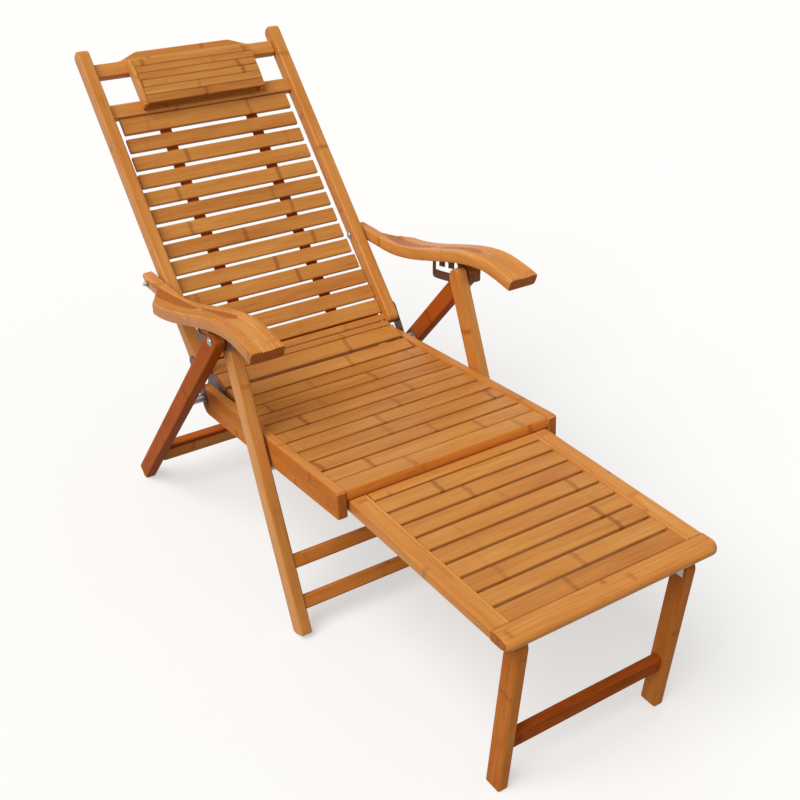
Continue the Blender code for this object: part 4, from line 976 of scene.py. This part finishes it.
# %% Stiles and rails
STILE_END = 13 * MM
STILE_EDGE = 4.5 * MM
for name, _ in SIDES:
    low, high = own_box(f"stile_{name}", "backrest")
    outline = rounded([(low.x, low.z, STILE_END), (high.x, low.z, STILE_END),
                       (high.x, high.z, STILE_END), (low.x, high.z, STILE_END)], steps=8)
    stile = round_edges(drawn_out(outline, low.y, high.y, "Y"), STILE_EDGE, 4)
    finish_piece(f"stile_{name}", lay_grain(stile, AXIS_Z, AXIS_X), "backrest", *HONEY)
low, high = own_box("head_rail", "backrest")
rail = drawn_out(bar_outline((low.x, low.z), (high.x, high.z), 4 * MM), low.y, high.y, "Y")
finish_piece("head_rail", lay_grain(rail, AXIS_Y, AXIS_Z), "backrest", *HONEY)
BACKING_THICKNESS = 8 * MM      # a board behind the strips closes the gap over the lower rail
BACKING_TOP = 88 * MM
low, high = own_box("lower_rail", "backrest")
cut_back = rounded([(high.x, low.z, 2 * MM), (high.x, high.z, 3 * MM), (low.x, high.z, 2 * MM),
                    (low.x, low.z + 2 * MM, 2 * MM)])
rail = lay_grain(drawn_out(cut_back, low.y, high.y, "Y"), AXIS_Y, AXIS_Z)
strip_low, _ = own_box("back_strip_left", "backrest")
behind = bar_outline((strip_low.x - BACKING_THICKNESS, low.z + 1 * MM),
                     (strip_low.x, BACKING_TOP), 2 * MM)
backing = lay_grain(drawn_out(behind, low.y, high.y, "Y"), AXIS_Y, AXIS_Z)
finish_piece("lower_rail", together([rail, backing]), "backrest", *HONEY)
print("rails", round((high.y - low.y) / MM), "mm long between the stiles")

# %% Crest rail
HUMP_FLAT = 240 * MM
HUMP_SLOPE = 45 * MM
HUMP_RISE = 19 * MM
FOOT_OF_HUMP_ROUND = 40 * MM
TOP_OF_HUMP_ROUND = 25 * MM
CREST_EDGE = 4 * MM
low, high = own_box("crest_rail", "backrest")
shoulder = high.z - HUMP_RISE
flat, slope = HUMP_FLAT / 2, HUMP_FLAT / 2 + HUMP_SLOPE
outline = rounded([
    (low.y, low.z, 0), (high.y, low.z, 0), (high.y, shoulder, 0), (slope, shoulder, FOOT_OF_HUMP_ROUND),
    (flat, high.z, TOP_OF_HUMP_ROUND), (-flat, high.z, TOP_OF_HUMP_ROUND),
    (-slope, shoulder, FOOT_OF_HUMP_ROUND), (low.y, shoulder, 0),
])
crest = round_edges(drawn_out(outline, low.x, high.x, "X"), CREST_EDGE)
finish_piece("crest_rail", lay_grain(crest, AXIS_Y, AXIS_Z), "backrest", *HONEY)
print("crest rail rises", round(HUMP_RISE / MM), "mm in the middle")

# %% Slats and the strips behind them
BACK_SLATS = 14                 # counted from the top
LONGER_NEAR = 10 * MM           # the upper slats are cut to stop short of the stiles, the lower are not
LONGER_FAR = 14 * MM
NEAR_FROM, FAR_FROM = 1, 9      # after these slats, the next four get longer step by step
OVER_SLATS = 4
FIRST_RISE = 6 * MM             # the first slat reaches up to the head rail
SLAT_END_EDGE = 1.6 * MM
STRIP_EDGE = 1.5 * MM
for index in range(1, BACK_SLATS + 1):
    node = f"back_slat_{index:02d}"
    low, high = own_box(node, "backrest")
    near_end = low.y - LONGER_NEAR * min((index - NEAR_FROM) / OVER_SLATS, 1.0)
    far_end = high.y + LONGER_FAR * min(max((index - FAR_FROM) / OVER_SLATS, 0.0), 1.0)
    top = high.z + (FIRST_RISE if index == 1 else 0.0)
    outline = bar_outline((low.x, low.z), (high.x, top), SLAT_TOP_ROUND)
    back_slat = round_edges(drawn_out(outline, near_end, far_end, "Y"), SLAT_END_EDGE, 2)
    finish_piece(node, lay_grain(back_slat, AXIS_Y, AXIS_Z), "backrest", *SLATS)
for name, _ in SIDES:
    low, high = own_box(f"back_strip_{name}", "backrest")
    outline = bar_outline((low.x, low.y), (high.x, high.y), STRIP_EDGE)
    strip = drawn_out(outline, low.z, high.z, "Z")
    # The strips' dark red brown is painted shade, for they lie in the slats' shadow.
    finish_piece(f"back_strip_{name}", lay_grain(strip, AXIS_Z, AXIS_Y), "backrest", *DARK)
print(BACK_SLATS, "slats on strips of", [round(size / MM, 1) for size in high - low], "mm")

# %% [markdown]
# ## Headrest
# The headrest is a bowed pillow of six bamboo strips, nailed over two curved cheeks,
# with a thin board at its back. A single bent sheet with painted grooves would look
# flat at the ends. Here the strips are separate boards along the chords of the bow. One
# cheek closes the end on the sitter's right, and the strips run on over the other one.

# %% Strips over two cheeks
HEAD_STRIPS = 6
STRIP_THICKNESS = 8 * MM
STRIP_GAP = 0.4 * MM
STRIP_SUNK = 0.6 * MM           # the strips' faces lie this far behind the cheek's edge
STRIP_FRONT_ROUND, STRIP_BACK_ROUND = 2.4 * MM, 1 * MM
CHEEK = 9 * MM
CHEEK_EDGE = 2 * MM
CHEEK_BELOW = 0.12              # the cheeks come down this far below the last strip, in strips
TOP_DEPTH, BOTTOM_DEPTH, BOW = 22 * MM, 24 * MM, 6 * MM
BOW_STEPS = 24
HEAD_BOARD = 4 * MM             # thickness of the board at the back
low, high = own_box("headrest", "backrest")
height = high.z - low.z


def bow(share):
    """Front of the headrest at a share of its height."""
    depth = BOTTOM_DEPTH + (TOP_DEPTH - BOTTOM_DEPTH) * share + BOW * 4 * share * (1 - share)
    return Vector((low.x + depth, low.z + height * share))


parts = []
for index in range(HEAD_STRIPS):
    start = bow((index + CHEEK_BELOW) / (HEAD_STRIPS + CHEEK_BELOW))
    end = bow((index + 1 + CHEEK_BELOW) / (HEAD_STRIPS + CHEEK_BELOW))
    up = (end - start).normalized()
    back = Vector((-up.y, up.x))
    start += back * STRIP_SUNK + up * STRIP_GAP / 2
    end += back * STRIP_SUNK - up * STRIP_GAP / 2
    corners = [(*start, STRIP_FRONT_ROUND), (*end, STRIP_FRONT_ROUND),
               (*(end + back * STRIP_THICKNESS), STRIP_BACK_ROUND),
               (*(start + back * STRIP_THICKNESS), STRIP_BACK_ROUND)]
    strip = drawn_out(rounded(corners, steps=4), low.y + CHEEK + STRIP_GAP, high.y, "Y")
    parts.append(lay_grain(strip, AXIS_Y, AXIS_Z))
front = [bow(step / BOW_STEPS) for step in range(BOW_STEPS + 1)]
sunk = [point - Vector((STRIP_THICKNESS + 1 * MM, 0.0)) for point in front]
for profile, start, end in ((front, low.y, low.y + CHEEK), (sunk, high.y - CHEEK, high.y - 1 * MM)):
    cheek = drawn_out([Vector((low.x, high.z)), Vector((low.x, low.z)), *profile], start, end, "Y")
    cheek = lay_grain(round_edges(cheek, CHEEK_EDGE), AXIS_Z, AXIS_X)
    for face in cheek.faces:
        face.material_index = SECOND_TONE
    parts.append(cheek)
board = drawn_out(bar_outline((low.x, low.z + 8 * MM), (low.x + HEAD_BOARD, high.z - 2 * MM), 1 * MM),
                  low.y + CHEEK, high.y - CHEEK, "Y")
parts.append(lay_grain(board, AXIS_Y, AXIS_Z))
finish_piece("headrest", together(parts), "backrest", *SLATS, frame_bamboo)
print("headrest bows", round((bow(0.45).x - low.x) / MM), "mm forward of its back")

# %% [markdown]
# ## Arms
# The arms are the showpiece: a thick plank sawn to a wave, narrowed to a tongue at
# the stile, hollowed into two shallow troughs along the middle, and reeded along both
# edges of its front third. The troughs are coloured red brown as a painted dark
# reflection of the shaded stile and backrest in the glossy lacquer. A subdivided cage
# could be sculpted, but the arm has one clear rule for every cross-section, so it is lofted from many
# sections.

# %% The arm's wave and width
REAR_CUT = -17 * MM             # at half of the thickness; the end is cut on the slant
ARM_FRONT = 590 * MM
ARM_THICKNESS = 28 * MM
WAVE_FROM, WAVE_TO, WAVE_RISE = 100 * MM, 510 * MM, 88 * MM
DROP_FROM, FRONT_DROP = 470 * MM, 13 * MM
TONGUE_WIDTH, TONGUE_END, FULL_WIDTH_AT = 26 * MM, 42 * MM, 132 * MM
WIDENING = 1.25                 # how hollow the curve from the tongue to the full width is
TOE_IN = 5 * MM                 # leaves the arm clear of the seat rail when folded
TOE_FROM, TOE_LENGTH = 150 * MM, 440 * MM


def ease(share):
    """A share that starts and ends gently, held between 0 and 1."""
    share = min(max(share, 0.0), 1.0)
    return share * share * (3 - 2 * share)


def arm_middle(x):
    """Height of the arm's middle at a place along it."""
    past = max((x - DROP_FROM) / (ARM_FRONT - DROP_FROM), 0.0)
    return WAVE_RISE * ease((x - WAVE_FROM) / (WAVE_TO - WAVE_FROM)) - FRONT_DROP * past * past


def arm_width(x, full):
    """Width of the arm: a tongue that widens by a hollow curve."""
    share = min(max((x - TONGUE_END) / (FULL_WIDTH_AT - TONGUE_END), 0.0), 1.0)
    return TONGUE_WIDTH + (full - TONGUE_WIDTH) * share ** WIDENING


def toe_in(x):
    """How far the arm bends in towards the sitter."""
    return TOE_IN * ease((x - TOE_FROM) / TOE_LENGTH)


print("arm rises", round((arm_middle(WAVE_TO) - arm_middle(0)) / MM), "mm along its wave")

# %% Hollows and reeds in the arm's top
TROUGH_DEPTH = 2.6 * MM
TROUGH_EDGE, EDGE_OUTSIDE = 0.05, 0.03  # width of a hollow's edge, and how much of it lies outside
REEDS = 4
REED_ZONE = 0.32                # share of the width that each group of reeds takes
REED_DEPTH = 2.4 * MM
REED_FROM, REED_FADE = 390 * MM, 80 * MM
BETWEEN_REEDS = 0.8             # depth of the flat between the groups, in reed depths
# Two hollows: (mm along, share of the width where it starts, where it ends).
HOLLOWS = (
    ((20, 1.04, 1.0), (62, 0.70, 1.0), (92, 0.38, 1.0), (114, 0.26, 0.74), (138, 0.16, 0.56),
     (210, 0.20, 0.52), (262, 0.32, 0.54), (284, 0.48, 0.42)),
    ((284, 0.34, 0.28), (306, 0.28, 0.44), (350, 0.32, 0.53), (410, 0.30, 0.60), (436, 0.25, 0.58),
     (456, 0.43, 0.37)),
)


def trough(x, share):
    """How far a point of the top lies in a hollow, from 0 to 1, at a share of the width."""
    deepest = 0.0
    for hollow in HOLLOWS:
        for (start, low_start, high_start), (end, low_end, high_end) in zip(hollow, hollow[1:]):
            if not start * MM <= x < end * MM:
                continue
            part = (x / MM - start) / (end - start)
            above = share - low_start - (low_end - low_start) * part
            below = high_start + (high_end - high_start) * part - share
            if high_start == high_end == 1.0:
                below = above
            deepest = max(deepest, ease((min(above, below) + EDGE_OUTSIDE) / TROUGH_EDGE))
    return deepest


def reed_drop(x, share):
    """How far a point of the top lies below the reeds' crowns."""
    depth = REED_DEPTH * ease((x - REED_FROM) / REED_FADE)
    edge = min(share, 1 - share)
    if edge >= REED_ZONE:
        return depth * BETWEEN_REEDS
    place = (edge * REEDS / REED_ZONE) % 1.0
    return depth * abs(2 * place - 1) ** 3


print(2 * REEDS, "reeds", REED_DEPTH / MM, "mm deep,", len(HOLLOWS), "hollows", TROUGH_DEPTH / MM, "mm")

# %% One cross-section of the arm
ARM_EDGE = 5 * MM
REED_STEPS, FLAT_STEPS = 6, 10


def top_shares():
    """Places across the top, from the inner edge to the outer: reeds, flat and reeds."""
    reeds = [REED_ZONE * step / REED_STEPS / REEDS for step in range(REEDS * REED_STEPS)]
    flat = [REED_ZONE + (1 - 2 * REED_ZONE) * step / FLAT_STEPS for step in range(FLAT_STEPS)]
    return [*reeds, *flat, *[1 - REED_ZONE + share for share in reeds], 1.0]


def arm_ring(x, half, full):
    """One cross-section of the arm: (distance from the inner face, height) points, and painted-reflection
    shares.
    """
    width = arm_width(x, full)
    edge = min(ARM_EDGE, 0.8 * half)
    middle = arm_middle(x)
    ring, painted_reflection_shares = [], []
    for share in top_shares():
        across = width * share
        near_side = min(across, width - across)
        fall = edge - math.sqrt(max(edge * edge - max(edge - near_side, 0.0) ** 2, 0.0))
        hollow = trough(x, share)
        ring.append((across, middle + half - fall - reed_drop(x, share) - TROUGH_DEPTH * hollow))
        painted_reflection_shares.append(hollow)
    # Down the outer side, along the underside with its rounded corners, and up the inner side.
    for corner in ((width, 0.0), (width, -0.5), (width - 0.3 * edge, -0.85), (width - edge, -1.0),
                   (width / 2, -1.0), (edge, -1.0), (0.3 * edge, -0.85), (0.0, -0.5), (0.0, 0.0)):
        depth = corner[1] * half if corner[1] > -0.6 else -half + (1 + corner[1]) * edge * 2
        ring.append((corner[0], middle + depth))
        painted_reflection_shares.append(0.0)
    return ring, painted_reflection_shares


print("a section has", len(top_shares()), "points on its top")

# %% Loft the arms
SECTIONS = 105
END_STEP = 2 * MM               # from each sawn end to the section before it
END_CHAMFER = 1.2 * MM
FRONT_LEAN = 0.35               # the front is cut square to the drooping arm
LEAN_FROM, LEAN_LENGTH = 450 * MM, 140 * MM
REAR_SLANT = 0.9
SLANT_LENGTH = 50 * MM
# How dark the painted reflection in the hollows is.
PAINTED_REFLECTION_STRENGTH = 0.8
span = ARM_FRONT - REAR_CUT - 2 * END_STEP
stations = [REAR_CUT + END_STEP + span * step / SECTIONS for step in range(SECTIONS + 1)]
for name, side in SIDES:
    low, high = own_box(f"arm_{name}", f"{name}_arm")
    inner, _ = inner_and_outer(low, high, side)
    rings, painted_reflection_shares = [], []
    for x in (REAR_CUT, *stations, ARM_FRONT):
        half = ARM_THICKNESS / 2 - (END_CHAMFER if x in (REAR_CUT, ARM_FRONT) else 0.0)
        ring, marks = arm_ring(x, half, high.y - low.y)
        level = arm_middle(x)
        lean = FRONT_LEAN * ease((x - LEAN_FROM) / LEAN_LENGTH)
        slant = REAR_SLANT * (1 - ease((x - REAR_CUT) / SLANT_LENGTH))
        rings.append([(x + lean * (z - level - half) - slant * (z - level),
                       inner + side * (across - toe_in(x)), z) for across, z in ring])
        painted_reflection_shares += marks
    arm = lofted(rings)
    # The hollows carry a painted dark reflection of the shaded stile and backrest.
    painted_reflection = arm.verts.layers.float.new("painted_reflection")
    arm.verts.ensure_lookup_table()
    for vertex, mark in zip(arm.verts, painted_reflection_shares):
        vertex[painted_reflection] = PAINTED_REFLECTION_STRENGTH * mark
    finish_piece(f"arm_{name}", lay_grain(arm, AXIS_X, AXIS_Y), f"{name}_arm", *HONEY)
print("arm of", len(rings), "sections with", len(rings[0]), "points each")

# %% [markdown]
# ## Bolts, pegs and plates
# The joints turn on zinc-plated bolts: a domed head with a washer on one side, a hex
# nut on the other and a few threads beyond it. Plain cylinders would do from afar, but
# close by the eye looks for the dome and the flats, so the head is a turned profile and
# the nut a six-sided prism with its edges chamfered. The pegs, brackets and punched
# plates are right as the CAD has them, so they keep their shape and get their finish.


# %% Turned bolts and hex nuts
def turned(profile, sides=28):
    """A round solid on the Y axis, from (place along Y, radius) steps."""
    turns = [2 * math.pi * index / sides for index in range(sides)]
    return lofted([[(radius * math.cos(turn), y, radius * math.sin(turn)) for turn in turns]
                   for y, radius in profile])


WASHER_RIM, WASHER_TOP = 1 * MM, 1.2 * MM
WASHER_WIDTH = 1.3              # in widths of the head
DOME_ANGLES = (0.0, 0.35, 0.7, 1.0, 1.25, 1.45)
NUT_CHAMFER = 0.7 * MM
THREAD_PITCH = 1.25 * MM
THREAD_ROOT = 0.88              # in radii of the bolt


def domed_head(base, side, radius, height):
    """A washer and a dome that stand out from a face."""
    rim = radius * WASHER_WIDTH
    washer = [(base, rim), (base + side * WASHER_RIM, rim), (base + side * WASHER_TOP, radius)]
    dome = [(base + side * (WASHER_TOP + (height - WASHER_TOP) * math.sin(angle)), radius * math.cos(angle))
            for angle in DOME_ANGLES]
    return turned(washer + dome)


def hex_nut(start, end, radius):
    """A six-sided nut with chamfered corners."""
    turns = [math.pi * corner / 3 for corner in range(6)]
    outline = [Vector((radius * math.cos(turn), radius * math.sin(turn))) for turn in turns]
    return round_edges(drawn_out(outline, start, end, "Y"), NUT_CHAMFER, 1)


def threaded(start, end, radius):
    """A shank with thread ridges at their real pitch."""
    count = max(int(abs(end - start) / THREAD_PITCH), 1)
    steps = [(start + (end - start) * index / (2 * count), radius * (1.0 if index % 2 else THREAD_ROOT))
             for index in range(2 * count + 1)]
    return turned(steps)


print("threads of", THREAD_PITCH / MM, "mm pitch")

# %% Bolts at the pivots
BOLT = 4 * MM
HEAD = 7.4 * MM
HEAD_HEIGHT = 4.8 * MM
SLEEVE = 8.5 * MM               # radius of the collars and spacers
COLLAR_ENDS = (263.6 * MM, 295.4 * MM)  # from the middle of the lounger
SPACER_ENDS = (260.3 * MM, 265.2 * MM)


def sleeve(ends, side, chamfer, end_radius):
    """A collar or spacer round a bolt, with chamfered ends."""
    start, end = side * ends[0], side * ends[1]
    return turned([(start, end_radius), (start + side * chamfer, SLEEVE),
                   (end - side * chamfer, SLEEVE), (end, end_radius)])


def add_bolt(node, body, parts):
    """Move a bolt's parts to the place of its CAD solid and finish them."""
    low, high = own_box(node, body)
    bolt = together(parts)
    bmesh.ops.translate(bolt, verts=bolt.verts, vec=((low.x + high.x) / 2, 0.0, (low.z + high.z) / 2))
    finish_piece(node, bolt, body, "steel", zinc_steel)


for name, side in SIDES:
    low, high = own_box(f"leg_pin_{name}", "rear_legs")
    inside, outside = inner_and_outer(low, high, side)
    shank = turned([(inside, BOLT), (outside - side * HEAD_HEIGHT, BOLT)])
    head = domed_head(outside - side * HEAD_HEIGHT, side, HEAD, HEAD_HEIGHT)
    add_bolt(f"leg_pin_{name}", "rear_legs", [shank, head])

    low, high = own_box(f"seat_pivot_{name}", "rear_legs")
    inside, outside = inner_and_outer(low, high, side)
    shank = turned([(inside + side * HEAD_HEIGHT, BOLT), (outside, BOLT)])
    head = domed_head(inside + side * HEAD_HEIGHT, -side, HEAD, HEAD_HEIGHT)
    collar = sleeve(COLLAR_ENDS, side, 1 * MM, 7.4 * MM)
    add_bolt(f"seat_pivot_{name}", "rear_legs", [shank, head, collar])

    low, high = own_box(f"arm_bolt_{name}", "backrest")
    inside, outside = inner_and_outer(low, high, side)
    nut_in = outside - side * 2 * HEAD_HEIGHT
    shank = turned([(inside + side * HEAD_HEIGHT, BOLT), (nut_in, BOLT)])
    head = domed_head(inside + side * HEAD_HEIGHT, -side, HEAD, HEAD_HEIGHT)
    spacer = sleeve(SPACER_ENDS, side, 0.7 * MM, 7.6 * MM)
    nut = hex_nut(nut_in, nut_in + side * HEAD_HEIGHT, HEAD)
    tip = threaded(nut_in, outside, BOLT)
    add_bolt(f"arm_bolt_{name}", "backrest", [shank, head, spacer, nut, tip])
print("bolts of", 2 * BOLT / MM, "mm with heads", 2 * HEAD / MM, "mm wide")

# %% Finishes on the CAD pieces that stay
STEEL_AS_DRAWN = ("seat_peg", "footrest_peg", "footrest_bracket")
BROWN_AS_DRAWN = ("notch_plate", "hinge_plate")
for families, material in ((STEEL_AS_DRAWN, zinc_steel), (BROWN_AS_DRAWN, brown_paint)):
    for family in families:
        for name, _ in SIDES:
            solid = frame["nodes"][f"{family}_{name}"]
            solid.data.materials.clear()
            solid.data.materials.append(material)
print("kept from CAD:", *STEEL_AS_DRAWN, *BROWN_AS_DRAWN)
